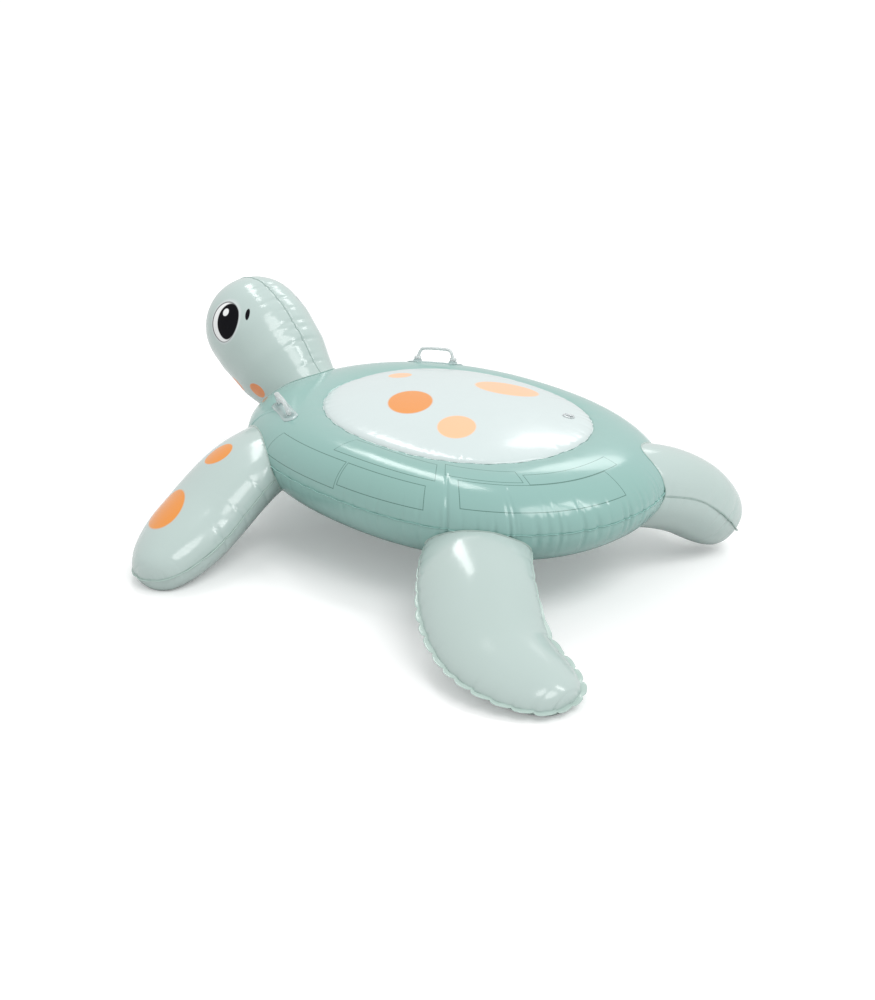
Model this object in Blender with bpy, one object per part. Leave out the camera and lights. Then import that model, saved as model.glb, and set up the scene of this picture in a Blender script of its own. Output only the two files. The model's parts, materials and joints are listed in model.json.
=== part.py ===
"""Inflatable ride-on sea turtle for the pool, full of air and standing on its four flippers.

Every chamber is made from the vinyl sheets that it is welded from. +X is the turtle's left,
-Y is towards its head, +Z is up, and the flippers rest on z = 0.
"""

import math

import bmesh
import bpy
from mathutils import Matrix, Vector

# Vinyl sheet, drawn thicker than its real 0.35 mm, and the clearance at each weld
VINYL = 0.002
WELD_GAP = 0.0004

# Shell: the seam is the widest line round it
SHELL_HALF_LENGTH = 0.595
SHELL_HALF_WIDTH = 0.42
SHELL_SQUARENESS = 2.2
SEAM_HEIGHT = 0.233
RING_RISE = 0.106
RING_TURN = math.radians(94)
BELLY_DROP = 0.118
BELLY_FLAT_SHARE = 0.66
AROUND = 40
RING_STEPS = 7
ROUND_STEPS = 5
WALL_SHARE = 0.90

# Dome: the oval seat cushion inside the ring
DOME_HALF_LENGTH = 0.366
DOME_HALF_WIDTH = 0.286
DOME_CENTRE_Y = 0.018
DOME_TOP_RISE = 0.142
DOME_RISE_POWER = 1.15

# Flippers: the side they are on, widest half chord, half thickness, degrees that the rear edge
# is rolled up, the power that sharpens the welded edge, and the points of the spine
FLIPPERS = {
    "front_left": {
        "side": 1, "half_chord": 0.134, "half_thickness": 0.084, "roll": 11, "edge": 1.0,
        "spine": ((0.20, -0.36, 0.220), (0.38, -0.355, 0.184), (0.56, -0.330, 0.100), (0.76, -0.262, 0.033)),
    },
    "front_right": {
        "side": -1, "half_chord": 0.134, "half_thickness": 0.084, "roll": 11, "edge": 1.0,
        "spine": ((0.20, -0.36, 0.220), (0.38, -0.360, 0.184), (0.56, -0.340, 0.097), (0.77, -0.320, 0.032)),
    },
    "rear_left": {
        "side": 1, "half_chord": 0.134, "half_thickness": 0.060, "roll": 5, "edge": 1.35,
        "spine": ((0.22, 0.33, 0.205), (0.385, 0.465, 0.160), (0.480, 0.630, 0.069), (0.476, 0.840, 0.021)),
    },
    "rear_right": {
        "side": -1, "half_chord": 0.118, "half_thickness": 0.104, "roll": 6, "edge": 1.0,
        "spine": ((0.06, 0.36, 0.210), (0.20, 0.442, 0.213), (0.340, 0.488, 0.158), (0.460, 0.534, 0.050)),
    },
}
ROOT_SHARE = 0.86
TIP_START = 0.70
STATION_POWER = 1.35
THICKNESS_POWER = 0.7
CURVE_STEP = 0.02
FLIPPER_STATIONS = 11
FLIPPER_ACROSS = 6

# Head and neck: one balloon of a left and a right panel
NECK_SPINE = (
    (0.0, -0.48, 0.190),
    (0.0, -0.57, 0.250),
    (0.0, -0.65, 0.305),
    (0.0, -0.725, 0.362),
    (0.0, -0.765, 0.389),
)
NECK_RADII = (0.092, 0.102, 0.131, 0.141, 0.139)
NECK_SHARE = 0.68
HEAD_STATIONS = 12
HEAD_ACROSS = 7

# Grab handles: a clear loop that folds about its two feet on a welded pad
HANDLE_X = 0.268
HANDLE_Y = -0.330
HANDLE_TURN = math.radians(-25.0)
HANDLE_LENGTH = 0.102
HANDLE_RISE = 0.027
HANDLE_BAR_RADIUS = 0.0045
FOOT_RADIUS = 0.0060
FOOT_LENGTH = 0.018
PAD_LENGTH = 0.160
PAD_WIDTH = 0.040
PAD_THICKNESS = 0.0025
HANDLE_CORNER = 0.016
LEG_LEAN = 0.004
BAR_FLATNESS = 1.5
PART_GAP = 0.0004

# Air valves: flange, stem, stopper and its strap
FLANGE_RADIUS = 0.0150
FLANGE_THICKNESS = 0.0016
STEM_RADIUS = 0.0062
STEM_BORE = 0.0045
STEM_LENGTH = 0.020
STOPPER_RADIUS = 0.0034
STOPPER_LENGTH = 0.0050
CAP_RADIUS = 0.0070
CAP_THICKNESS = 0.0020
STRAP_REACH = 0.0135
STRAP_WIDTH = 0.0050
PIN_RADIUS = 0.0016
ROUND = 24
SEAT_VALVE_PLACE = (-0.150, 0.262)
SEAT_VALVE_LEAN = (0.75, 0.45)
SHELL_VALVE_Y = 0.30
SHARP_EDGE = math.radians(40)

MINT = (0.42, 0.70, 0.63)
PALE = (0.74, 0.84, 0.81)
CLEAR = (0.90, 0.92, 0.92)


def clear_scene():
    for thing in list(bpy.data.objects):
        bpy.data.objects.remove(thing, do_unlink=True)


def material(name, colour, roughness):
    made = bpy.data.materials.new(name)
    made.use_nodes = True
    shader = made.node_tree.nodes["Principled BSDF"]
    shader.inputs["Base Color"].default_value = (*colour, 1.0)
    shader.inputs["Roughness"].default_value = roughness
    return made


def solid_from(name, mesh, colour, roughness=0.25):
    """Closes a bmesh into a named, smooth-shaded object with its own material."""
    bmesh.ops.recalc_face_normals(mesh, faces=mesh.faces)
    data = bpy.data.meshes.new(name)
    mesh.to_mesh(data)
    mesh.free()
    made = bpy.data.objects.new(name, data)
    bpy.context.scene.collection.objects.link(made)
    data.shade_smooth()
    data.set_sharp_from_angle(angle=SHARP_EDGE)
    data.materials.append(material(name, colour, roughness))
    return made


def add_layer(mesh, rows, cyclic):
    """Joins rows of points with faces. A row of one point is a pole."""
    verts = [[mesh.verts.new(point) for point in row] for row in rows]
    for here, after in zip(verts, verts[1:]):
        count = max(len(here), len(after))
        for k in range(count if cyclic else count - 1):
            n = (k + 1) % count
            ring = [here[k % len(here)], here[n % len(here)]]
            ring += [after[n % len(after)], after[k % len(after)]]
            mesh.faces.new(list(dict.fromkeys(ring)))
    return verts


def add_rim(mesh, first, second, cyclic):
    """Joins two edges of equal length with a strip."""
    count = len(first)
    for k in range(count if cyclic else count - 1):
        n = (k + 1) % count
        ring = [first[k], first[n], second[n], second[k]]
        mesh.faces.new(list(dict.fromkeys(ring)))


def sheet(name, outer, inner, cyclic, colour):
    """A sheet of vinyl between two layers of rows of points, closed at each open edge."""
    mesh = bmesh.new()
    out = add_layer(mesh, outer, cyclic)
    back = add_layer(mesh, inner, cyclic)
    for end in (0, -1):
        if len(out[end]) > 1:
            add_rim(mesh, out[end], back[end], cyclic)
    if not cyclic:
        for side in (0, -1):
            add_rim(mesh, [row[side] for row in out], [row[side] for row in back], False)
    return solid_from(name, mesh, colour)


def oval(half_width, half_length, centre_y, angle):
    power = 2.0 / SHELL_SQUARENESS
    c, s = math.cos(angle), math.sin(angle)
    x = math.copysign(abs(c) ** power, c) * half_width
    y = math.copysign(abs(s) ** power, s) * half_length
    return x, y + centre_y


def oval_row(share, height, grow=0.0):
    """A row round the shell: share 1 is the seam and share 0 is the dome's edge, at a height."""
    row = []
    for k in range(AROUND):
        angle = 2 * math.pi * k / AROUND
        ox, oy = oval(SHELL_HALF_WIDTH + grow, SHELL_HALF_LENGTH + grow, 0.0, angle)
        ix, iy = oval(DOME_HALF_WIDTH + grow, DOME_HALF_LENGTH + grow, DOME_CENTRE_Y, angle)
        row.append((ix + (ox - ix) * share, iy + (oy - iy) * share, height))
    return row


def dome_row(share, height):
    """A row inside the dome's edge: share 1 is the edge."""
    row = []
    for k in range(AROUND):
        angle = 2 * math.pi * k / AROUND
        x, y = oval(DOME_HALF_WIDTH * share, DOME_HALF_LENGTH * share, DOME_CENTRE_Y, angle)
        row.append((x, y, height))
    return row


def ring_top_rows(shrink):
    """From the seam over the crest to the dome's edge. Shrink moves the rows inwards."""
    turn = RING_TURN
    rows = []
    for step in range(RING_STEPS + 1):
        angle = turn * step / RING_STEPS
        share = 1 - (1 - math.cos(angle)) / (1 - math.cos(turn))
        height = SEAM_HEIGHT + WELD_GAP / 2 + (RING_RISE - shrink) * math.sin(angle)
        rows.append(oval_row(share, height, -shrink * (0.2 + 0.8 * share)))
    return rows


def belly_rows(shrink):
    """From the seam down to the flat of the belly and its centre."""
    rows = []
    for step in range(ROUND_STEPS + 1):
        angle = math.pi / 2 * step / ROUND_STEPS
        share = BELLY_FLAT_SHARE + (1 - BELLY_FLAT_SHARE) * math.cos(angle)
        height = SEAM_HEIGHT - WELD_GAP / 2 - (BELLY_DROP - shrink) * math.sin(angle)
        half_width = (SHELL_HALF_WIDTH - shrink) * share
        half_length = (SHELL_HALF_LENGTH - shrink) * share
        turns = [2 * math.pi * k / AROUND for k in range(AROUND)]
        rows.append([(*oval(half_width, half_length, 0.0, turn), height) for turn in turns])
    rows.append([(0.0, 0.0, SEAM_HEIGHT - WELD_GAP / 2 - BELLY_DROP + shrink)])
    return rows


def dome_rows(shrink):
    """From the dome's edge up to its middle."""
    low = ring_edge_height()
    rise = SEAM_HEIGHT + DOME_TOP_RISE - low - shrink
    inset = 1 - shrink / DOME_HALF_WIDTH
    gap = 2 * WELD_GAP / DOME_HALF_WIDTH
    rows = []
    for step in range(ROUND_STEPS):
        angle = math.pi / 2 * step / ROUND_STEPS
        rows.append(dome_row(math.cos(angle) * inset - gap, low + rise * math.sin(angle) ** DOME_RISE_POWER))
    rows.append([(0.0, DOME_CENTRE_Y, low + rise)])
    return rows


def ring_edge_height():
    return SEAM_HEIGHT + RING_RISE * math.sin(RING_TURN)


def make_shell():
    sheet("shell_top_sheet", ring_top_rows(0.0), ring_top_rows(VINYL), True, MINT)
    belly = sheet("shell_bottom_sheet", belly_rows(0.0), belly_rows(VINYL), True, MINT)
    dome = sheet("seat_dome_sheet", dome_rows(0.0), dome_rows(VINYL), True, PALE)
    low = SEAM_HEIGHT - BELLY_DROP + VINYL + WELD_GAP
    high = ring_edge_height() - VINYL - 0.004
    inner_share = WALL_SHARE - VINYL / DOME_HALF_WIDTH
    outer = [dome_row(WALL_SHARE, low), dome_row(WALL_SHARE, high)]
    inner = [dome_row(inner_share, low), dome_row(inner_share, high)]
    sheet("chamber_wall", outer, inner, True, MINT)
    return belly, dome


def shell_cutter():
    """The shell's outer shape, a little larger, which trims what is welded to its side."""
    mesh = bmesh.new()
    top = ring_top_rows(0.0)
    centre = [[(0.0, DOME_CENTRE_Y, ring_edge_height() + 0.02)]]
    add_layer(mesh, list(reversed(belly_rows(0.0)))[:-1] + top + centre, True)
    bmesh.ops.recalc_face_normals(mesh, faces=mesh.faces)
    data = bpy.data.meshes.new("shell_cutter")
    mesh.to_mesh(data)
    mesh.free()
    middle = Vector((0.0, 0.0, SEAM_HEIGHT))
    grow = Matrix.Diagonal((1.0030, 1.0025, 1.0090, 1.0))
    data.transform(Matrix.Translation(middle) @ grow @ Matrix.Translation(-middle))
    made = bpy.data.objects.new("shell_cutter", data)
    bpy.context.scene.collection.objects.link(made)
    hide(made)
    return made


def hide(helper):
    """Keeps a cutter or another helper out of the object."""
    helper.hide_render = True
    helper.display_type = "WIRE"


def cut(piece, cutter):
    step = piece.modifiers.new("cut", "BOOLEAN")
    step.operation = "DIFFERENCE"
    step.solver = "EXACT"
    step.object = cutter


def smooth_point(points, t):
    """A point at share t along a Catmull-Rom curve through the points."""
    spans = len(points) - 1
    k = min(int(t * spans), spans - 1)
    u = t * spans - k
    p = [Vector(points[max(0, min(spans, k + i))]) for i in (-1, 0, 1, 2)]
    a = p[1] * 2
    b = (p[2] - p[0]) * u
    c = (p[0] * 2 - p[1] * 5 + p[2] * 4 - p[3]) * u * u
    d = (p[1] * 3 - p[0] - p[2] * 3 + p[3]) * u * u * u
    return (a + b + c + d) / 2


def flipper_fullness(t):
    """Share of the full chord at share t of the length, for a root, a broad middle and a round tip."""
    root = ROOT_SHARE + (1 - ROOT_SHARE) * math.sin(math.pi * min(t / 0.9, 1.0))
    tip = max(0.0, 1 - max(0.0, (t - TIP_START) / (1 - TIP_START)) ** 2) ** 0.5
    return root * tip


def direction_at(points, t):
    """Unit direction of a curve at share t."""
    before = smooth_point(points, max(t - CURVE_STEP, 0.0))
    after = smooth_point(points, min(t + CURVE_STEP, 1.0))
    return (after - before).normalized()


def section_axes(shape, t):
    """The directions along a flipper, across its chord and out of its upper face."""
    along = direction_at(shape["spine"], t)
    level = Vector((0.0, 0.0, 1.0)).cross(along).normalized()
    upright = along.cross(level).normalized()
    roll = math.radians(shape["roll"])
    across = level * math.cos(roll) + upright * math.sin(roll)
    normal = upright * math.cos(roll) - level * math.sin(roll)
    return along, across, normal


def flipper_rows(shape, face, shrink):
    """Rows of points of one face of a flipper: face +1 is its upper sheet and -1 its lower one."""
    rows = []
    for i in range(FLIPPER_STATIONS):
        t = 1 - (1 - i / FLIPPER_STATIONS) ** STATION_POWER
        here = smooth_point(shape["spine"], t)
        _, across, normal = section_axes(shape, t)
        fullness = flipper_fullness(t)
        chord = max(0.0, fullness * shape["half_chord"] - shrink)
        thick = max(0.0, fullness ** THICKNESS_POWER * shape["half_thickness"] - shrink)
        row = []
        for j in range(FLIPPER_ACROSS + 1):
            angle = math.pi * j / FLIPPER_ACROSS
            bulge = thick * max(0.0, math.sin(angle)) ** shape["edge"] + WELD_GAP / 2
            row.append(here + across * chord * math.cos(angle) + normal * face * bulge)
        rows.append(row)
    along, _, normal = section_axes(shape, 1.0)
    rows.append([smooth_point(shape["spine"], 1.0) - along * shrink + normal * face * WELD_GAP / 2])
    return [[(p.x * shape["side"], p.y, max(p.z, shrink)) for p in row] for row in rows]


def make_flipper(name, cutter):
    shape = FLIPPERS[name]
    for face, word in ((1, "upper"), (-1, "lower")):
        outer = flipper_rows(shape, face, 0.0)
        inner = flipper_rows(shape, face, VINYL)
        cut(sheet(f"{name}_flipper_{word}_sheet", outer, inner, False, PALE), cutter)


def neck_radius(body):
    """Radius of the neck at a share of its spine."""
    last = len(NECK_SPINE) - 1
    k = min(int(body * last), last - 1)
    mix = body * last - k
    return NECK_RADII[k] * (1 - mix) + NECK_RADII[k + 1] * mix


def head_rows(side, shrink):
    """Rows of points of one side panel of the head and neck, from the root to the crown."""
    across = Vector((side, 0.0, 0.0))
    rows = []
    for i in range(HEAD_STATIONS + 1):
        t = i / HEAD_STATIONS
        body = min(t / NECK_SHARE, 1.0)
        cap = max(0.0, (t - NECK_SHARE) / (1 - NECK_SHARE)) * math.pi / 2
        along = direction_at(NECK_SPINE, body)
        normal = along.cross(Vector((1.0, 0.0, 0.0))).normalized()
        here = smooth_point(NECK_SPINE, body) + along * (NECK_RADII[-1] - shrink) * math.sin(cap)
        radius = (neck_radius(body) - shrink) * math.cos(cap)
        if i == HEAD_STATIONS:
            rows.append([here + across * WELD_GAP / 2])
            break
        row = []
        for j in range(HEAD_ACROSS + 1):
            angle = math.pi * j / HEAD_ACROSS
            out = radius * math.sin(angle) + WELD_GAP / 2
            row.append(here + normal * radius * math.cos(angle) + across * out)
        rows.append(row)
    return [[tuple(p) for p in row] for row in rows]


def make_head(cutter):
    for side, word in ((1, "left"), (-1, "right")):
        panel = sheet(f"head_{word}_panel", head_rows(side, 0.0), head_rows(side, VINYL), False, PALE)
        cut(panel, cutter)


def share_of_oval(x, y, half_width, half_length):
    """How far a point is from an oval's centre, as a share of the way to its edge."""
    power = SHELL_SQUARENESS
    return ((abs(x) / half_width) ** power + (abs(y) / half_length) ** power) ** (1 / power)


def surface_height(x, y):
    """Height of the ring's top sheet over a point between the seam and the dome's edge."""
    outer = 1 / share_of_oval(x, y, SHELL_HALF_WIDTH, SHELL_HALF_LENGTH)
    inner = 1 / share_of_oval(x, y - DOME_CENTRE_Y, DOME_HALF_WIDTH, DOME_HALF_LENGTH)
    share = (1 - inner) / (outer - inner)
    cosine = 1 - (1 - share) * (1 - math.cos(RING_TURN))
    return SEAM_HEIGHT + RING_RISE * math.sin(math.acos(max(-1.0, min(1.0, cosine))))


def surface_normal(x, y):
    step = 0.012
    dx = (surface_height(x + step, y) - surface_height(x - step, y)) / (2 * step)
    dy = (surface_height(x, y + step) - surface_height(x, y - step)) / (2 * step)
    return Vector((-dx, -dy, 1.0)).normalized()


def frame_on(origin, normal, toward):
    """A placement with its Z along the normal and its X towards a direction."""
    z = normal.normalized()
    x = (toward - z * toward.dot(z)).normalized()
    y = z.cross(x)
    turn = Matrix((x, y, z)).transposed().to_4x4()
    return Matrix.Translation(origin) @ turn


def handle_frame(side):
    x, y = HANDLE_X, HANDLE_Y
    origin = Vector((x, y, surface_height(x, y) + 0.0008))
    normal = surface_normal(x, y)
    toward = Vector((-math.sin(HANDLE_TURN), math.cos(HANDLE_TURN), 0.0))
    placed = frame_on(origin, normal, toward)
    if side > 0:
        return placed
    flip = Matrix.Diagonal((-1.0, 1.0, 1.0, 1.0))
    return flip @ placed @ Matrix.Diagonal((1.0, -1.0, 1.0, 1.0))


def rounded_plate(mesh, length, width, low, high, corner=8):
    """A plate with round ends, along X."""
    rows = []
    radius = width / 2
    for z in (low, high):
        row = []
        for end in (1, -1):
            for k in range(corner + 1):
                angle = -math.pi / 2 + math.pi * k / corner
                x = length / 2 - radius + radius * math.cos(angle)
                row.append((end * x, end * radius * math.sin(angle), z))
        rows.append(row)
    verts = add_layer(mesh, rows, True)
    mesh.faces.new(verts[0])
    mesh.faces.new(verts[1])


def handle_line(t):
    """The loop's centre line at share t: up one leg, along the grip and down the other."""
    half = HANDLE_LENGTH / 2
    points = [
        (-half, 0.0),
        (-half + 0.003, HANDLE_RISE - HANDLE_CORNER),
        (-half + LEG_LEAN + HANDLE_CORNER * 0.3, HANDLE_RISE - LEG_LEAN),
        (-half + LEG_LEAN + HANDLE_CORNER, HANDLE_RISE),
        (0.0, HANDLE_RISE + 0.001),
    ]
    points += [(-x, z) for x, z in reversed(points[:-1])]
    return smooth_point([(x, 0.0, z) for x, z in points], t)


def handle_loop(steps=18, sides=8):
    """The bar of a handle, round its centre line, with its two open ends filled."""
    flat = Vector((0.0, 1.0, 0.0))
    rows = []
    for i in range(steps + 1):
        t = i / steps
        here = handle_line(t)
        lift = flat.cross((handle_line(min(t + 0.01, 1.0)) - handle_line(max(t - 0.01, 0.0))).normalized())
        row = []
        for k in range(sides):
            angle = 2 * math.pi * k / sides
            wide = flat * HANDLE_BAR_RADIUS * BAR_FLATNESS * math.cos(angle)
            row.append(here + wide + lift * HANDLE_BAR_RADIUS * math.sin(angle))
        rows.append(row)
    loop = bmesh.new()
    verts = add_layer(loop, rows, True)
    loop.faces.new(verts[0])
    loop.faces.new(verts[-1])
    return loop


def join(piece, helper):
    """Adds a hidden helper's shape to a piece."""
    hide(helper)
    step = piece.modifiers.new("join", "BOOLEAN")
    step.operation = "UNION"
    step.solver = "EXACT"
    step.object = helper


def make_handle(side, word):
    placed = handle_frame(side)
    pad = bmesh.new()
    rounded_plate(pad, PAD_LENGTH, PAD_WIDTH, 0.0, PAD_THICKNESS)
    plate = solid_from(f"handle_pad_{word}", pad, CLEAR)
    plate.matrix_world = placed
    axis_height = PAD_THICKNESS + PART_GAP + FOOT_RADIUS
    made = solid_from(f"handle_{word}", handle_loop(), CLEAR)
    made.matrix_world = placed @ Matrix.Translation((0.0, 0.0, axis_height))
    for end in (-1, 1):
        foot = bmesh.new()
        where = Matrix.Translation((end * HANDLE_LENGTH / 2, 0.0, axis_height))
        turn = where @ Matrix.Rotation(math.pi / 2, 4, "Y")
        bmesh.ops.create_cone(foot, cap_ends=True, segments=16, radius1=FOOT_RADIUS, radius2=FOOT_RADIUS,
                              depth=FOOT_LENGTH, matrix=turn)
        helper = solid_from(f"handle_{word}_foot_{end}", foot, CLEAR)
        helper.matrix_world = placed
        join(made, helper)


def turned(mesh, profile):
    """Turns a closed profile of (radius, height) points round Z, as a ring or a plug."""
    rows = []
    for radius, z in profile:
        if radius == 0.0:
            rows.append([(0.0, 0.0, z)])
            continue
        turns = [2 * math.pi * k / ROUND for k in range(ROUND)]
        rows.append([(radius * math.cos(turn), radius * math.sin(turn), z) for turn in turns])
    verts = add_layer(mesh, rows, True)
    if len(rows[0]) > 1:
        add_rim(mesh, verts[-1], verts[0], True)


def drill(piece, placed, radius):
    """Cuts a round hole for a valve's stem through a sheet."""
    hole = bmesh.new()
    bmesh.ops.create_cone(hole, cap_ends=True, segments=ROUND, radius1=radius, radius2=radius, depth=0.05,
                          matrix=placed)
    helper = solid_from(f"{piece.name}_valve_hole", hole, CLEAR)
    hide(helper)
    cut(piece, helper)


def make_stopper(name, placed):
    """A stopper's plug and cap, with the strap and the pin that it swings on."""
    top = FLANGE_THICKNESS
    low = top + PART_GAP
    high = low + CAP_THICKNESS
    inner = STRAP_REACH - 0.0025
    plug = bmesh.new()
    turned(plug, [(0.0, top - STOPPER_LENGTH), (STOPPER_RADIUS - 0.0006, top - STOPPER_LENGTH),
                  (STOPPER_RADIUS, top), (STOPPER_RADIUS, low),
                  (CAP_RADIUS, low), (CAP_RADIUS, high), (0.0, high)])
    pivot = Vector((inner, 0.0, low + PIN_RADIUS))
    stopper = solid_from(f"{name}_stopper", plug, CLEAR)
    stopper.data.transform(Matrix.Translation(-pivot))
    stopper.matrix_world = placed @ Matrix.Translation(pivot)
    strap = bmesh.new()
    root = CAP_RADIUS - 0.002
    lane = Matrix.Translation(((root + inner) / 2, 0.0, low + CAP_THICKNESS / 2))
    size = Matrix.Diagonal((inner - root, STRAP_WIDTH, CAP_THICKNESS * 0.7, 1.0))
    bmesh.ops.create_cube(strap, size=1.0, matrix=lane @ size)
    pin = bmesh.new()
    lying = Matrix.Translation(pivot) @ Matrix.Rotation(math.pi / 2, 4, "X")
    bmesh.ops.create_cone(pin, cap_ends=True, segments=12, radius1=PIN_RADIUS, radius2=PIN_RADIUS,
                          depth=STRAP_WIDTH * 1.2, matrix=lying)
    for shape, word in ((strap, "strap"), (pin, "hinge")):
        helper = solid_from(f"{name}_{word}_shape", shape, CLEAR)
        helper.matrix_world = placed
        join(stopper, helper)


def make_valve(name, piece, origin, normal, toward):
    """A flange and stem set in a sheet, and its stopper, which swings open on a strap."""
    placed = frame_on(origin + normal.normalized() * 0.0005, normal, toward)
    drill(piece, placed, STEM_RADIUS + PART_GAP)
    body = bmesh.new()
    top = FLANGE_THICKNESS
    turned(body, [(STEM_BORE, -STEM_LENGTH), (STEM_RADIUS, -STEM_LENGTH), (STEM_RADIUS, 0.0),
                  (FLANGE_RADIUS, 0.0), (FLANGE_RADIUS - 0.0006, top), (STEM_BORE, top)])
    base = solid_from(f"{name}_base", body, CLEAR)
    base.matrix_world = placed
    make_stopper(name, placed)


def make_valves(belly, dome):
    x, y = SEAT_VALVE_PLACE
    share = share_of_oval(x, y - DOME_CENTRE_Y, DOME_HALF_WIDTH, DOME_HALF_LENGTH)
    low = ring_edge_height()
    rise = SEAM_HEIGHT + DOME_TOP_RISE - low
    height = low + rise * math.sin(math.acos(share)) ** DOME_RISE_POWER
    normal = Vector((x * SEAT_VALVE_LEAN[0], y * SEAT_VALVE_LEAN[1], 1.0)).normalized()
    make_valve("seat_valve", dome, Vector((x, y, height)), normal, Vector((0.0, 1.0, 0.0)))
    under = Vector((0.0, SHELL_VALVE_Y, SEAM_HEIGHT - BELLY_DROP))
    make_valve("shell_valve", belly, under, Vector((0.0, 0.0, -1.0)), Vector((0.0, 1.0, 0.0)))


def centre_on_origin():
    """Moves everything so that the box round the solids stands centred on the origin."""
    bpy.context.view_layer.update()
    graph = bpy.context.evaluated_depsgraph_get()
    points = []
    for thing in bpy.context.scene.objects:
        if not thing.hide_render:
            shape = thing.evaluated_get(graph)
            points += [shape.matrix_world @ Vector(corner) for corner in shape.bound_box]
    low = [min(p[k] for p in points) for k in range(3)]
    high = [max(p[k] for p in points) for k in range(3)]
    shift = Matrix.Translation((-(low[0] + high[0]) / 2, -(low[1] + high[1]) / 2, -low[2]))
    for thing in bpy.context.scene.objects:
        thing.matrix_world = shift @ thing.matrix_world


def main():
    clear_scene()
    belly, dome = make_shell()
    cutter = shell_cutter()
    for name in FLIPPERS:
        make_flipper(name, cutter)
    make_head(cutter)
    make_handle(1, "left")
    make_handle(-1, "right")
    make_valves(belly, dome)
    centre_on_origin()


main()
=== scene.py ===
"""The looks of an inflatable sea turtle float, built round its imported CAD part.

Each vinyl sheet is drawn again at a fine scale over its CAD solid, with the puckers that its
welds make, and the welds themselves, the printed marks, the handles and the valves are added.
"""

import json
import math

import bmesh
import bpy
import numpy as np
from mathutils import Matrix, Vector
from types import SimpleNamespace


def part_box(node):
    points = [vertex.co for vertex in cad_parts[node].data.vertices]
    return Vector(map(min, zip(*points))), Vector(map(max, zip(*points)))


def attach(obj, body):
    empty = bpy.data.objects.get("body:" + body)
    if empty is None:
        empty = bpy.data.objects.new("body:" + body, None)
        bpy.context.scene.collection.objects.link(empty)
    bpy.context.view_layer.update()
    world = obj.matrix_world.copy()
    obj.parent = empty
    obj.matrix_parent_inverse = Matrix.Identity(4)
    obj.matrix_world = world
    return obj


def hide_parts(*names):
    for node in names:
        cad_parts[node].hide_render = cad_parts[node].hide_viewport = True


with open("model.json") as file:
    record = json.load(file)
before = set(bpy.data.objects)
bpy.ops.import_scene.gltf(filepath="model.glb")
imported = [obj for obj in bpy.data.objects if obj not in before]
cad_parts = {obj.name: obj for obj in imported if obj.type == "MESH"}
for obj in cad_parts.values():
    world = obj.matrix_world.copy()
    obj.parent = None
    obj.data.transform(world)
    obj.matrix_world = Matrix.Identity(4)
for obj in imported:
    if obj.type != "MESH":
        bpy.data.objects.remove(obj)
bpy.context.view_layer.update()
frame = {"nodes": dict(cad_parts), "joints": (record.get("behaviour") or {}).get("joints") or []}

# The shell, read from its CAD sheets
SHELL_LOW, SHELL_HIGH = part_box("shell_top_sheet")
BELLY_LOW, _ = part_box("shell_bottom_sheet")
DOME_LOW, DOME_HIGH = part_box("seat_dome_sheet")
CENTRE = Vector(((SHELL_LOW.x + SHELL_HIGH.x) / 2, (SHELL_LOW.y + SHELL_HIGH.y) / 2, 0.0))
HALF_WIDTH = (SHELL_HIGH.x - SHELL_LOW.x) / 2
HALF_LENGTH = (SHELL_HIGH.y - SHELL_LOW.y) / 2
SEAM_HEIGHT = SHELL_LOW.z
RING_RISE = SHELL_HIGH.z - SHELL_LOW.z
BELLY_DROP = SEAM_HEIGHT - BELLY_LOW.z
DOME_HALF_WIDTH = (DOME_HIGH.x - DOME_LOW.x) / 2
DOME_HALF_LENGTH = (DOME_HIGH.y - DOME_LOW.y) / 2
DOME_Y = (DOME_LOW.y + DOME_HIGH.y) / 2 - CENTRE.y
DOME_TOP = DOME_HIGH.z
SQUARENESS = 2.2
RING_TURN = math.radians(94)
BELLY_FLAT_SHARE = 0.66
SHEET = 0.0008
SEAM_GAP = 0.0004
MERGE = 1e-6

# Flippers and neck, as in the CAD part, from the middle of the shell. Roll is in degrees, edge
# sharpens the balloon towards its weld, and lip is the share of the weld's full width
FLIPPERS = {
    "front_left": {
        "side": 1, "half_chord": 0.134, "half_thickness": 0.084, "roll": 11, "edge": 1.0, "lip": 1.0,
        "spine": ((0.20, -0.36, 0.220), (0.38, -0.355, 0.184), (0.56, -0.330, 0.100), (0.76, -0.262, 0.033)),
    },
    "front_right": {
        "side": -1, "half_chord": 0.134, "half_thickness": 0.084, "roll": 11, "edge": 1.0, "lip": 1.0,
        "spine": ((0.20, -0.36, 0.220), (0.38, -0.360, 0.184), (0.56, -0.340, 0.097), (0.77, -0.320, 0.032)),
    },
    "rear_left": {
        "side": 1, "half_chord": 0.134, "half_thickness": 0.060, "roll": 5, "edge": 1.35, "lip": 1.0,
        "spine": ((0.22, 0.33, 0.205), (0.385, 0.465, 0.160), (0.480, 0.630, 0.069), (0.476, 0.840, 0.021)),
    },
    "rear_right": {
        "side": -1, "half_chord": 0.118, "half_thickness": 0.104, "roll": 6, "edge": 1.0, "lip": 0.5,
        "spine": ((0.06, 0.36, 0.210), (0.20, 0.442, 0.213), (0.340, 0.488, 0.158), (0.460, 0.534, 0.050)),
    },
}
NECK_SPINE = (
    (0.0, -0.48, 0.190),
    (0.0, -0.57, 0.250),
    (0.0, -0.65, 0.305),
    (0.0, -0.725, 0.362),
    (0.0, -0.765, 0.389),
)
NECK_RADII = (0.092, 0.102, 0.131, 0.141, 0.139)
NECK_SHARE = 0.68
SPINE_STEP = 0.02
SHIFT = np.array([CENTRE.x, CENTRE.y, 0.0])

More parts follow.
